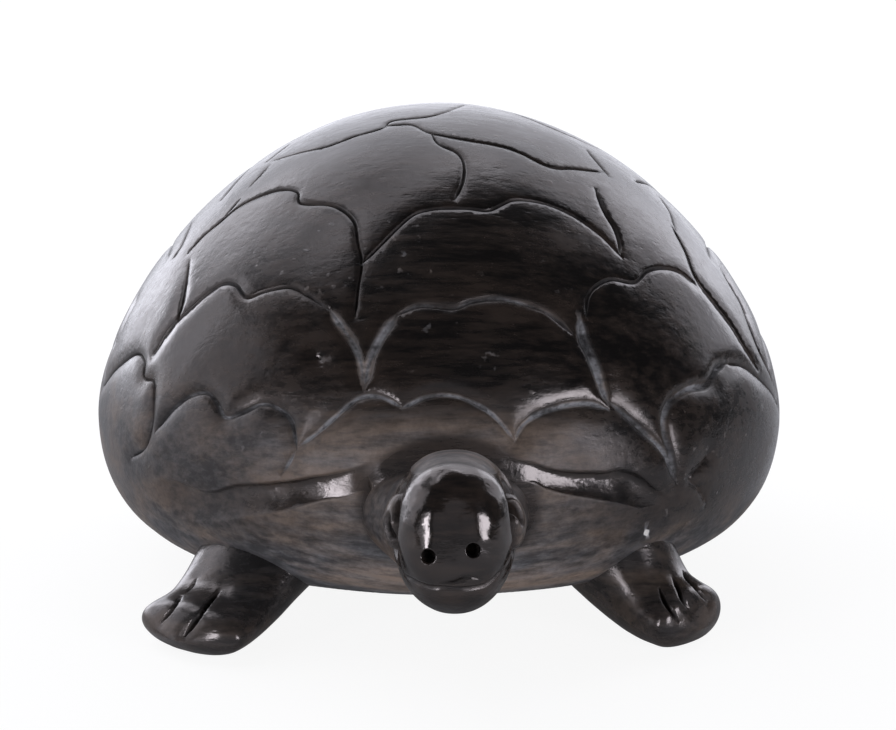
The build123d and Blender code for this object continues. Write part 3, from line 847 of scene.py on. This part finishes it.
def shell_haze_and_painted_light(base, down, turn):
    """How hazy the wax is, with painted light: clear on the plates, paler towards the rim and below it,
    partly hazy wax and partly a painted reflection of the pale floor, paler still at the front as painted
    front light, darker on the turtle's left shoulder as painted shade, and a painted shadow in the crease
    round the neck."""
    aside = off_front(turn)
    lower = smooth_step(*HAZE_AND_LIGHT_START, down)
    under = smooth_step(*UNDERSIDE, down)
    shoulder = smooth_step(*SHOULDER_FRONT, np.degrees(turn)) * smooth_step(*SHOULDER_REAR, np.degrees(turn))
    # Painted front light and painted shade on the left shoulder; below the rim, a painted reflection of the
    # floor
    dome = HAZE_AND_PAINTED_LIGHT["front"] * bell(aside, FRONT_SPREAD) + HAZE_AND_PAINTED_LIGHT["shoulder"] * shoulder
    below = HAZE_AND_PAINTED_LIGHT["under"] + HAZE_AND_PAINTED_LIGHT["breast"] * bell(aside, BREAST_SPREAD)
    haze_and_painted_light = lower * (HAZE_AND_PAINTED_LIGHT["all round"] + dome * (1 - under) + below * under)
    # Painted shadow: the paleness is taken away in the crease behind the head, so that it is darker
    from_neck = np.hypot(*((base[:, [0, 2]] - NECK_MIDDLE) / NECK_HALF).T)
    crease = smooth_step(*CREASE_EDGE, from_neck) * (base[:, 1] < 0)
    return haze_and_painted_light * (1 - CREASE_PAINTED_SHADOW * crease)


def shell_mesh(form):
    """The carved shell: the block's points moved inwards by the grooves, by plates that fall to their
    seams, by the front trough and by the unevenness of hand work. Returns points, faces and marks."""
    cuts, edges = shell_cuts(form)
    disc = [Vector(place) for place in shell_points(form, cuts, edges).tolist()]
    flat, _, faces, *_ = delaunay_2d_cdt(disc, [], [], 0, WELD, False)
    flat = np.array([tuple(place) for place in flat])
    run, turn = np.hypot(*flat.T), np.arctan2(flat[:, 1], flat[:, 0])
    base, down = form.at(run, turn), run / form.rim_run
    gap, half, depth, dust = cut_by(base, cuts)
    carved = groove(gap, half, depth)
    sizes = form.sizes
    lowest = smooth_step(*LOWEST_ROW, down)
    fall = sizes.pillow + (sizes.rolled - sizes.pillow) * lowest
    reach = sizes.pillow_reach + (sizes.rolled_reach - sizes.pillow_reach) * lowest
    fallen = fall * bell(gap, reach) * (1 - smooth_step(*PLATES_END, down))
    trough, inside = front_trough(run, turn, form, edges)
    hollow = dents(base, SHELL_DENTS) + trough + dents(base, TROUGH_DENTS) * inside
    fade = 1 - smooth_step(form.end_run - BELLY_EDGE, form.end_run, run)
    points = base - form.normal(run, turn) * (carved + fallen + hollow * fade)[:, None]
    # The rub gives gloss, and by taking paleness out of the whole trough it paints shade in the hollow
    rubbed = inside * (TROUGH_RUB_AND_SHADE + (1 - TROUGH_RUB_AND_SHADE) * bell(off_front(turn) - RUB_ASIDE, RUB_SPREAD))
    lips = lowest * bell(gap - LIP_ASIDE, LIP_WIDTH) * smooth_step(*LIPS_END, down)
    in_seams = dust * smooth_step(*SEAM_DUST, gap / half)
    # The dust mark: dust in the seams, and hazy wax with painted reflection and shade
    dull = np.maximum(in_seams, shell_haze_and_painted_light(base, down, turn) * (1 - rubbed))
    gloss = np.maximum(TROUGH_GLOSS * rubbed, LIP_GLOSS * lips)
    marks = np.stack([np.clip(carved / RAW_DEPTH, 0.0, 1.0), dull, gloss], axis=1)
    return close_belly(points, faces, marks, run, turn, form)


def close_belly(points, faces, marks, run, turn, form):
    """Fills the flat belly with rings that shrink to its middle."""
    rim = np.where(run > form.end_run - SAME_RUN)[0]
    rim = rim[np.argsort(turn[rim])]
    middle = np.array([0.0, form.sizes.middle_y, form.sizes.belly])
    rings = [middle + (points[rim] - middle) * part for part in BELLY_RINGS]
    start = len(points)
    sides = len(rim)
    index = np.vstack([rim] + [start + i * sides + np.arange(sides) for i in range(len(rings))])
    outer, inner = index[:-1], index[1:]
    quads = np.stack([outer, inner, np.roll(inner, -1, axis=1), np.roll(outer, -1, axis=1)], axis=-1)
    last = np.full(sides, start + len(rings) * sides)
    fan = np.stack([index[-1], last, np.roll(index[-1], -1)], axis=-1)
    points = np.vstack([points] + rings + [middle[None, :]])
    marks = np.vstack([marks, np.zeros((len(points) - len(marks), len(MARKS)))])
    return points, faces + quads.reshape(-1, 4).tolist() + fan.tolist(), marks


def head_grid(sizes, rings=320, sides=300):
    """The head before its face is cut, in its own frame. Three fifths of the rings run from the nose to the
    widest section, by superellipses in plan and in side view. Then a round back runs into a widening neck.
    The cross section is a superellipse too, with one power above and another below."""
    front = rings * 3 // 5
    bend = np.linspace(NOSE_START, tau / 4, front)
    y_front = -sizes.nose * np.cos(bend) ** (2 / PLAN_POWER)
    wide_front = np.sin(bend) ** (2 / PLAN_POWER)
    deep_front = (1 - (-y_front / sizes.nose) ** SIDE_POWER) ** (1 / SIDE_POWER)
    y_back = np.linspace(0.0, sizes.root_reach, rings - front + 1)[1:]
    round_back = np.sqrt(np.clip(1 - (y_back / sizes.back) ** 2, 0.0, 1.0))
    y = np.concatenate([y_front, y_back])
    flare = smooth_step(0.0, sizes.root_reach, y) ** NECK_FLARE
    soft = NAPE_SOFT * smooth_step(0.0, NAPE_REACH, y)

    def half_size(front_share, head, neck, root):
        """Half the width or depth: the skull's ahead, and behind it the larger of skull and neck."""
        skull = np.concatenate([front_share, round_back]) * head / 2
        return np.where(y > 0, smooth_max(skull, (neck + (root - neck) * flare) / 2, soft), skull)

    wide = half_size(wide_front, sizes.width, sizes.neck_width, sizes.root_width)
    deep = half_size(deep_front, sizes.depth, sizes.neck_depth, sizes.root_depth)
    angle = -np.arange(sides) * tau / sides
    power = 2 / np.where(np.sin(angle) > 0, CROWN_POWER, CHIN_POWER)
    across = np.sign(np.cos(angle)) * np.abs(np.cos(angle)) ** power
    upward = np.sign(np.sin(angle)) * np.abs(np.sin(angle)) ** power
    return np.stack(
        [wide[:, None] * across, np.repeat(y[:, None], sides, axis=1), deep[:, None] * upward], axis=-1)


def head_placed(own, sizes):
    """The head's own points, pitched about its middle and moved aside, with the neck's end left level."""
    x, y, z = np.moveaxis(own, -1, 0)
    cosine, sine = cos(sizes.pitch), sin(sizes.pitch)
    pitched = np.stack([x, y * cosine + z * sine, z * cosine - y * sine], axis=-1)
    level = smooth_step(LEVEL_FROM, sizes.root_reach, y)
    aside = sizes.aside * (1 - (1 - ROOT_ASIDE) * level)
    shift = np.stack([aside, np.zeros_like(y), -sizes.root_drop * level], axis=-1)
    level = level[..., None]
    return np.array([0.0, sizes.middle_y, sizes.height]) + shift + pitched * (1 - level) + own * level


def nostril(x, z, side, sizes):
    """One in a drilled nostril, nought outside it. Distances are in millimetres."""
    across = x - side * sizes.nostril_spacing / MM / 2 - NOSTRILS_ASIDE
    up = z + sizes.nostril_drop / MM - side * NOSTRIL_TILT
    return smooth_step(*HOLE_EDGE, np.hypot(across, up) * MM / sizes.nostril_radius)


def eye(x, y, z, side, sizes):
    """Moat, ball, pupil and the whole of an almond eye, each from nought to one. The eye's edge is where the
    powers of the shares of its half height and half length add up to one. Distances are in millimetres."""
    along = y + sizes.eye_forward / MM
    up = z - sizes.eye_rise / MM
    beside = smooth_step(*TEMPLE, side * x)
    tall, deep = sizes.eye_height / MM / 2, sizes.eye_length / MM / 2
    almond = np.abs(up / tall) ** ALMOND_UP + np.abs(along / deep) ** ALMOND_ALONG
    moat = bell(almond - MOAT_AT, MOAT_WIDTH)
    ball = np.sqrt(np.clip(1.0 - almond, 0.0, 1.0))
    to_pupil = np.hypot(along + PUPIL_FORWARD, (up - PUPIL_RISES[side]) / PUPIL_STRETCH)
    pupil = smooth_step(*PUPIL_EDGE, to_pupil)
    return moat * beside, ball * beside, pupil * beside, smooth_step(*EYE_EDGE, almond) * beside


def face_relief(own, sizes):
    """How far the face is carved in, in the head's own frame, how raw the cut is and how pale the wax is
    made: a shallow valley between two nose ridges, the dents of the carver, drilled nostrils, and almond eyes
    that stand out of a moat and have a drilled pupil. The top of the head and the eyes are paler as painted
    reflections of the lamps, and the neck is made paler towards its back."""
    x, y, z = np.moveaxis(own / MM, -1, 0)
    ahead = smooth_step(*FACE_STARTS, y)
    valley = bell(x - VALLEY_ASIDE, VALLEY_WIDTH) * smooth_step(*VALLEY_TOP, z) * smooth_step(*VALLEY_FOOT, z)
    dented = hand_work(own.reshape(-1, 3), FACE_WAVES).reshape(x.shape)
    relief = (VALLEY_DEPTH * valley + dented) * ahead
    raw = CHIN_RAW * smooth_step(*CHIN, z)
    # Painted reflection: the top of the head paler, as light from overhead; the neck paler towards its back
    crown = CROWN_PAINTED_REFLECTION * smooth_step(*CROWN, z) * smooth_step(*CROWN_FRONT, y)
    haze_and_painted_light = np.maximum(crown, NAPE_PALER * smooth_step(*NAPE, y))
    for side in (-1, 1):
        hole = nostril(x, z, side, sizes) * ahead
        moat, ball, pupil, whole = eye(x, y, z, side, sizes)
        relief += NOSTRIL_DEPTH * hole + MOAT_DEPTH * moat - BALL_RISE * ball + PUPIL_DEPTH * pupil
        raw += hole + MOAT_RAW * moat + pupil
        # Painted reflection of the side lamps on the eyes
        haze_and_painted_light += EYE_PAINTED_REFLECTION * whole
    return relief * MM, raw, haze_and_painted_light


def tube_tree(grid):
    """A search tree of a tube's grid of points."""
    rings, sides = grid.shape[:2]
    ends = np.stack([grid[0].mean(axis=0), grid[-1].mean(axis=0)])
    points = np.vstack([grid.reshape(-1, 3), ends])
    return BVHTree.FromPolygons(points.tolist(), tube_faces(rings, sides))


def cuts_on(tree, lines):
    """Cuts that run along lines of the photograph over a form."""
    cuts = Cuts()
    for half_width, depth, dust, pixels in lines.values():
        line = even_steps(onto(tree, flowing(pixels, CURVE_STEPS)), FINE_STEP)
        cuts.add(line, half_width * MM, depth * MM, dust)
    return cuts


def carved_tube(grid, cuts, gloss, haze_and_painted_light, relief=0.0, raw=0.0):
    """A tube's grid of points moved inwards by its cuts, its relief and the unevenness of hand work, then
    closed at both ends. Returns points, faces and marks."""
    rings, sides = grid.shape[:2]
    base = grid.reshape(-1, 3)
    gap, half, depth, dust = cut_by(base, cuts)
    carved = groove(gap, half, depth)
    fallen = LIMB_PILLOW * bell(gap, LIMB_PILLOW_REACH)
    inwards = carved + fallen + dents(base, LIMB_DENTS) + np.ravel(relief)
    points = base - grid_normals(grid).reshape(-1, 3) * inwards[:, None]
    shaped = points.reshape(rings, sides, 3)
    ends = np.stack([shaped[0].mean(axis=0), shaped[-1].mean(axis=0)])
    cut = np.clip(carved / RAW_DEPTH + np.ravel(raw), 0.0, 1.0)
    # The dust mark: dust in the cuts, and the paleness given, which on the head is painted reflection
    dull = np.maximum(dust * smooth_step(*LIMB_DUST, gap / half), np.ravel(haze_and_painted_light) * (1 - cut))
    marks = np.stack([cut, dull, np.full(len(base), gloss)], axis=1)
    marks = np.vstack([marks, np.zeros((len(ends), len(MARKS)))])
    return np.vstack([points, ends]), tube_faces(rings, sides), marks


def leg_grid(sizes, end, side, rings=190, sides=210):
    """A leg as a tube of ellipses from the hip to the toes, whose middle, width, depth and slope flow along
    stations to a round tip, flattened where it meets the floor. End is -1 at the front, side is -1 on the
    turtle's right."""
    swing, longer, wider, deeper = LEG_HAND[side]
    half_wide, half_deep = sizes.hip_width / 2 * wider, sizes.hip_depth / 2 * deeper
    shares = np.stack([LEG_RUNS, LEG_HEIGHTS, LEG_WIDTHS, LEG_DEPTHS, np.radians(LEG_SLOPES)], axis=1)
    stations = shares * (sizes.reach * longer, sizes.hip_height, half_wide, half_deep, 1.0)
    curve = flowing(stations, LEG_STEPS)
    places = np.sin(np.linspace(0.0, 1.0, rings) * tau / 4) * (len(curve) - 1)
    run, height, wide, deep, slope = (np.interp(places, np.arange(len(curve)), column) for column in curve.T)
    tip = smooth_step(TOE_TIP, 1.0, run / run[-1])
    closing = np.sqrt(np.clip(1.0 - tip**2, 0.0, 1.0))
    angle = np.arange(sides) * tau / sides
    up = (deep * closing)[:, None] * np.sin(angle)
    along = run[:, None] + up * np.sin(slope)[:, None]
    across = (wide * closing**TOE_ROUND)[:, None] * np.cos(angle)
    tall = height[:, None] + up * np.cos(slope)[:, None]
    tall = np.maximum(smooth_max(tall, 0.0, SOLE_SOFT) - SOLE_SOFT / 2, 0.0)
    heading = end * (tau / 4 - sizes.splay - radians(swing))
    hip = sizes.front_hip if end < 0 else sizes.rear_hip
    middle_y = bpy.context.scene.turtle_shell.middle_y
    x = sizes.hip_out + along * cos(heading) - across * sin(heading)
    y = middle_y + end * hip + along * sin(heading) + across * cos(heading)
    return np.stack([side * x, y, tall], axis=-1)[:, ::side]


def tail_grid(sizes, rings=120, sides=120):
    """A tail as a tube of circles along +Y, its half width a cubic curve from the root to a round tip."""
    half, root, tip = sizes.width / 2, sizes.root_y, sizes.root_y + sizes.reach
    corners = [(root, half), (root + TAIL_FULL * sizes.reach, half), (tip, TAIL_TIP * half), (tip, 0.0)]
    curve = bezier(corners, rings)[:-1]
    angle = -np.arange(sides) * tau / sides
    return np.stack(
        [curve[:, 1:] * np.cos(angle), np.repeat(curve[:, :1], sides, axis=1),
         sizes.height + curve[:, 1:] * np.sin(angle)], axis=-1)


class Shading:
    """A node tree that is being filled: each call adds a node and returns one of its outputs."""

    def __init__(self, tree):
        tree.nodes.clear()
        self.tree = tree

    def add(self, kind, settings=None, out=0, **inputs):
        """A node with its settings. An input goes by its name, or by an i and its number, and takes a value
        or another node's output."""
        made = self.tree.nodes.new("ShaderNode" + kind)
        for key, value in (settings or {}).items():
            setattr(made, key, value)
        for key, value in inputs.items():
            socket = made.inputs[int(key[1:]) if key[1:].isdigit() else key.replace("_", " ")]
            if isinstance(value, bpy.types.NodeSocket):
                self.tree.links.new(value, socket)
            else:
                socket.default_value = value
        return made.outputs[out] if made.outputs else None

    def noise(self, place, scale, detail, roughness):
        """Cloudy noise, with one scale or with three along X, Y and Z."""
        if not isinstance(scale, float):
            place, scale = self.add("Mapping", Vector=place, Scale=scale), 1.0
        return self.add(
            "TexNoise", None, "Fac", Vector=place, Scale=scale, Detail=detail, Roughness=roughness)

    def ramp(self, value, low, high, start=0.0, end=1.0):
        """A straight change from start to end while the value goes from low to high, level outside."""
        return self.add("MapRange", i0=value, i1=low, i2=high, i3=start, i4=end)

    def math(self, operation, *values, clamp=False):
        """Arithmetic on two or three values."""
        inputs = {f"i{number}": value for number, value in enumerate(values)}
        return self.add("Math", {"operation": operation, "use_clamp": clamp}, **inputs)

    def mix(self, part, first, second):
        """Between two numbers: the first where the part is nought, the second where it is one."""
        return self.add("Mix", {"data_type": "FLOAT"}, i0=part, i2=first, i3=second)

    def blend(self, part, first, second):
        """Between two colours, as mix does between numbers."""
        sockets = bpy.types.NodeSocket
        first, second = (c if isinstance(c, sockets) else (*c, 1.0) for c in (first, second))
        return self.add("Mix", {"data_type": "RGBA"}, 2, i0=part, i6=first, i7=second)


def new_material(name):
    """An empty material and its node tree."""
    material = bpy.data.materials.new(name)
    material.use_nodes = True
    return material, Shading(material.node_tree)


def polished_ebony(finish):
    """Waxed ebony: near-black wood with brown streaks and fibres along X, open pores, flakes of dry wax in
    crowds, glossy on the faces, dull and pale by the dust mark, which holds dust, dull wax and painted light,
    and raw where the carving mark is high."""
    material, nodes = new_material("polished_ebony")
    place = nodes.add("TexCoord", None, "Object")
    carving, dust, gloss = (nodes.add("Attribute", {"attribute_name": name}, "Fac") for name in MARKS)
    grain = nodes.noise(place, BANDS, 5.0, 0.60)
    fibre = nodes.noise(place, THREADS, 4.0, 0.65)
    cloud = nodes.noise(place, CLOUD, 3.0, 0.55)
    fine = nodes.noise(place, FINE, 4.0, 0.65)
    mottle = nodes.noise(place, MOTTLE, 4.0, 0.60)
    specks = nodes.noise(place, SPECKS, 2.0, 0.50)
    pores = nodes.add("Mapping", Vector=place, Scale=PORES)
    to_pore = nodes.add("TexVoronoi", None, "Distance", Vector=pores, Scale=1.0)
    streak = nodes.math("ADD", grain, fibre)
    grit = nodes.math("ADD", fine, mottle)

    wood = nodes.blend(nodes.ramp(streak, 0.86, 1.20), finish.dark_wood, finish.brown_wood)
    bare = nodes.math("SUBTRACT", nodes.ramp(grain, 0.40, 0.62), carving, clamp=True)
    veil = nodes.blend(bare, finish.dust, finish.raw_wood)
    on_faces, in_cuts = nodes.ramp(grit, 0.78, 1.18, 0.72, 1.10), nodes.ramp(grit, 0.78, 1.18, 0.20, 1.25)
    # Paleness by the dust mark: real dust and hazy wax, and painted light where the shell and head paint it
    lying = nodes.math("MULTIPLY", dust, nodes.ramp(streak, 0.82, 1.18, 0.45, 1.45))
    dust_and_painted_light = nodes.math("MULTIPLY", lying, nodes.mix(carving, on_faces, in_cuts))
    crowd = nodes.ramp(nodes.math("SUBTRACT", cloud, gloss, clamp=True), 0.50, 0.60)
    flakes = nodes.math("MULTIPLY", nodes.ramp(specks, 0.665, 0.73, 0.0, 0.30), crowd)
    dulled = nodes.blend(nodes.math("MAXIMUM", dust_and_painted_light, flakes, clamp=True), wood, veil)
    colour = nodes.blend(nodes.ramp(dust, 1.0, 1.6), dulled, finish.chip)

    dull = nodes.ramp(dust, 0.06, 0.24)
    wax = nodes.ramp(cloud, 0.35, 0.68, finish.clear_wax, finish.cloudy_wax)
    wax = nodes.math("ADD", wax, nodes.ramp(streak, 0.8, 1.2, -0.04, 0.07))
    rough = nodes.mix(dull, nodes.mix(gloss, wax, finish.rubbed_wax), finish.dull_wax)
    rough = nodes.mix(carving, rough, finish.raw_cut)
    mirror = nodes.ramp(gloss, 0.0, 1.0, finish.wax_mirror, finish.rubbed_mirror)
    mirror = nodes.mix(carving, nodes.mix(dull, mirror, finish.dull_mirror), finish.raw_mirror)

    height = nodes.math("MULTIPLY_ADD", fibre, 0.6, mottle)
    height = nodes.math("MULTIPLY_ADD", nodes.ramp(to_pore, 0.05, 0.22, 1.0, 0.0), -0.20, height)
    height = nodes.math("MULTIPLY_ADD", flakes, 1.2, height)
    height = nodes.math("MULTIPLY_ADD", nodes.math("MULTIPLY", carving, fine), 3.0, height)
    bump = nodes.add("Bump", Strength=finish.relief, Distance=BUMP_DEPTH, Height=height)
    shader = nodes.add(
        "BsdfPrincipled", Base_Color=colour, Roughness=rough, Normal=bump, IOR=finish.wax_index,
        Specular_IOR_Level=mirror, Specular_Tint=(*finish.gleam, 1.0))
    nodes.add("OutputMaterial", Surface=shader)
    return material


def dowel_wood(finish):
    """Plain turned dowel: pale brown with fine streaks of grain and a dull, open surface."""
    material, nodes = new_material("dowel_wood")
    grain = nodes.noise(nodes.add("TexCoord", None, "Object"), DOWEL_STREAKS, 4.0, 0.5)
    dark = tuple(part * DOWEL_DARK for part in finish.dowel)
    bump = nodes.add("Bump", Strength=0.3, Distance=DOWEL_BUMP, Height=grain)
    tone = nodes.blend(grain, dark, finish.dowel)
    shader = nodes.add("BsdfPrincipled", Base_Color=tone, Roughness=0.6, Normal=bump)
    nodes.add("OutputMaterial", Surface=shader)
    return material


def ebony():
    """The ebony that all carved pieces share."""
    return bpy.data.materials.get("polished_ebony") or polished_ebony(bpy.context.scene.turtle_finish)


class TURTLE_OT_shell(bpy.types.Operator):
    """Carve the shell with its plates, front hollow and belly"""

    bl_idname = "turtle.shell"
    bl_label = "Carve Shell"

    def execute(self, context):
        points, faces, marks = shell_mesh(ShellForm(context.scene.turtle_shell))
        add_piece("carved_shell", points, faces, "shell", marks, ebony())
        return {"FINISHED"}


class TURTLE_OT_head(bpy.types.Operator):
    """Carve the head and neck with eyes, nostrils and mouth"""

    bl_idname = "turtle.head"
    bl_label = "Carve Head"

    def execute(self, context):
        sizes = context.scene.turtle_head
        own = head_grid(sizes)
        grid = head_placed(own, sizes)
        relief, raw, haze_and_painted_light = face_relief(own, sizes)
        cuts = cuts_on(tube_tree(grid), FACE_LINES)
        points, faces, marks = carved_tube(grid, cuts, HEAD_GLOSS, haze_and_painted_light, relief, raw)
        add_piece("carved_head", points, faces, "head", marks, ebony())
        return {"FINISHED"}


class TURTLE_OT_legs(bpy.types.Operator):
    """Carve the four legs with their toe cuts"""

    bl_idname = "turtle.legs"
    bl_label = "Carve Legs"

    def execute(self, context):
        sizes = context.scene.turtle_leg
        behind = 2 * context.scene.turtle_shell.middle_y + sizes.rear_hip - sizes.front_hip
        for side, hand, lines in ((-1, "right", RIGHT_TOE_CUTS), (1, "left", LEFT_TOE_CUTS)):
            front, rear = leg_grid(sizes, -1, side), leg_grid(sizes, 1, side)
            cuts = cuts_on(tube_tree(front), lines)
            mirrored = Cuts((line * (1, -1, 1) + (0, behind, 0), *rest) for line, *rest in cuts.lines)
            for end, *leg in (("front", front, cuts, *FRONT_WAX), ("rear", rear, mirrored, *REAR_WAX)):
                points, faces, marks = carved_tube(*leg)
                points[:, 2] = np.maximum(points[:, 2], 0.0)
                name = f"{end}_{hand}_leg"
                add_piece(f"carved_{name}", points, faces, name, marks, ebony())
        return {"FINISHED"}


class TURTLE_OT_tail(bpy.types.Operator):
    """Carve the short tail"""

    bl_idname = "turtle.tail"
    bl_label = "Carve Tail"

    def execute(self, context):
        sizes = context.scene.turtle_tail
        along = sizes.root_y + sizes.reach * TAIL_LINE
        top = np.full(len(along), sizes.height + sizes.width / 2)
        cuts = Cuts()
        cuts.add(np.stack([np.zeros(len(along)), along, top], axis=1), *TAIL_CUT)
        points, faces, marks = carved_tube(tail_grid(sizes), cuts, *REAR_WAX)
        add_piece("carved_tail", points, faces, "tail", marks, ebony())
        return {"FINISHED"}


class TURTLE_OT_dowels(bpy.types.Operator):
    """Give the hidden dowels their plain wood"""

    bl_idname = "turtle.dowels"
    bl_label = "Finish Dowels"

    def execute(self, context):
        material = dowel_wood(context.scene.turtle_finish)
        for name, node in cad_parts.items():
            if name.endswith("dowel"):
                node.data.materials.clear()
                node.data.materials.append(material)
        return {"FINISHED"}


def panel_light(name, place, size, radiance):
    """A soft rectangular lamp that faces the turtle and that the camera doesn't see. Its power is four times
    its area times its brightness."""
    lamp = bpy.data.lights.new(name, "AREA")
    lamp.shape = "RECTANGLE"
    lamp.size, lamp.size_y = size
    lamp.color = LAMP_TINT
    lamp.energy = 4 * size[0] * size[1] * radiance
    made = bpy.data.objects.new(name, lamp)
    made.location = place
    made.rotation_euler = (Vector(LAMP_AIM) - Vector(place)).to_track_quat("-Z", "Y").to_euler()
    made.visible_camera = False
    bpy.context.scene.collection.objects.link(made)


def studio_floor(finish):
    """A wide pale floor that looks white to the camera apart from the turtle's soft shadow."""
    mesh = bpy.data.meshes.new("studio_floor")
    corners = [(x * FLOOR_HALF, y * FLOOR_HALF, 0) for x, y in ((-1, -1), (1, -1), (1, 1), (-1, 1))]
    mesh.from_pydata(corners, [], [(0, 1, 2, 3)])
    material, nodes = new_material("studio_floor")
    shade = nodes.add("BsdfDiffuse", Color=(*finish.floor, 1.0))
    rays = (("Is Camera Ray", WHITE_SHARE, WHITE_GLOW), ("Is Glossy Ray", MIRROR_SHARE, MIRROR_GLOW))
    for ray, part, strength in rays:
        part = nodes.math("MULTIPLY", nodes.add("LightPath", None, ray), part)
        glow = nodes.add("Emission", Color=(*WHITE, 1.0), Strength=strength)
        shade = nodes.add("MixShader", i0=part, i1=shade, i2=glow)
    nodes.add("OutputMaterial", Surface=shade)
    mesh.materials.append(material)
    floor = bpy.data.objects.new("studio_floor", mesh)
    bpy.context.scene.collection.objects.link(floor)


def studio_world():
    """White to the camera, and a dim room to everything else."""
    world = bpy.data.worlds.new("studio_world")
    bpy.context.scene.world = world
    world.use_nodes = True
    nodes = Shading(world.node_tree)
    colour = nodes.blend(nodes.add("LightPath", None, "Is Camera Ray"), ROOM, WHITE)
    nodes.add("OutputWorld", Surface=nodes.add("Background", Color=colour))


class TURTLE_OT_stage(bpy.types.Operator):
    """Set the camera of the photograph, the pale floor and the soft lamps"""

    bl_idname = "turtle.stage"
    bl_label = "Set Stage"

    def execute(self, context):
        scene = context.scene
        stage = scene.turtle_stage
        place, *_, forward = camera_axes(stage)
        data = bpy.data.cameras.new("photo_camera")
        data.sensor_width = SENSOR
        data.lens = stage.focal
        data.clip_start = CLIP_START
        camera = bpy.data.objects.new("photo_camera", data)
        camera.location = place
        camera.rotation_euler = Vector(forward).to_track_quat("-Z", "Y").to_euler()
        scene.collection.objects.link(camera)
        scene.camera = camera
        studio_floor(scene.turtle_finish)
        studio_world()
        for name, lamp in LAMPS.items():
            panel_light(name, *lamp)
        scene.view_settings.view_transform = "Standard"
        return {"FINISHED"}


class TURTLE_PT_sidebar(bpy.types.Panel):
    """The turtle's steps and sizes"""

    bl_idname = "TURTLE_PT_sidebar"
    bl_label = "Carved Turtle"
    bl_space_type = "VIEW_3D"
    bl_region_type = "UI"
    bl_category = "Turtle"

    def draw(self, context):
        for operator in OPERATORS:
            self.layout.operator(operator.bl_idname)
        for group in GROUPS:
            box = self.layout.box()
            for name in GROUPS[group].__annotations__:
                box.prop(getattr(context.scene, group), name)


GROUPS = {
    "turtle_shell": TurtleShellSizes,
    "turtle_head": TurtleHeadSizes,
    "turtle_leg": TurtleLegSizes,
    "turtle_tail": TurtleTailSizes,
    "turtle_finish": TurtleFinish,
    "turtle_stage": TurtleStage,
}
OPERATORS = (
    TURTLE_OT_shell, TURTLE_OT_head, TURTLE_OT_legs, TURTLE_OT_tail, TURTLE_OT_dowels, TURTLE_OT_stage)


def register():
    for name, group in GROUPS.items():
        bpy.utils.register_class(group)
        setattr(bpy.types.Scene, name, PointerProperty(type=group))
    for operator in OPERATORS:
        bpy.utils.register_class(operator)
    bpy.utils.register_class(TURTLE_PT_sidebar)


def unregister():
    bpy.utils.unregister_class(TURTLE_PT_sidebar)
    for operator in reversed(OPERATORS):
        bpy.utils.unregister_class(operator)
    for name, group in reversed(GROUPS.items()):
        delattr(bpy.types.Scene, name)
        bpy.utils.unregister_class(group)


def main():
    register()
    bpy.ops.turtle.shell()
    bpy.ops.turtle.head()
    bpy.ops.turtle.legs()
    bpy.ops.turtle.tail()
    bpy.ops.turtle.dowels()
    bpy.ops.turtle.stage()


if __name__ == "__main__":
    main()
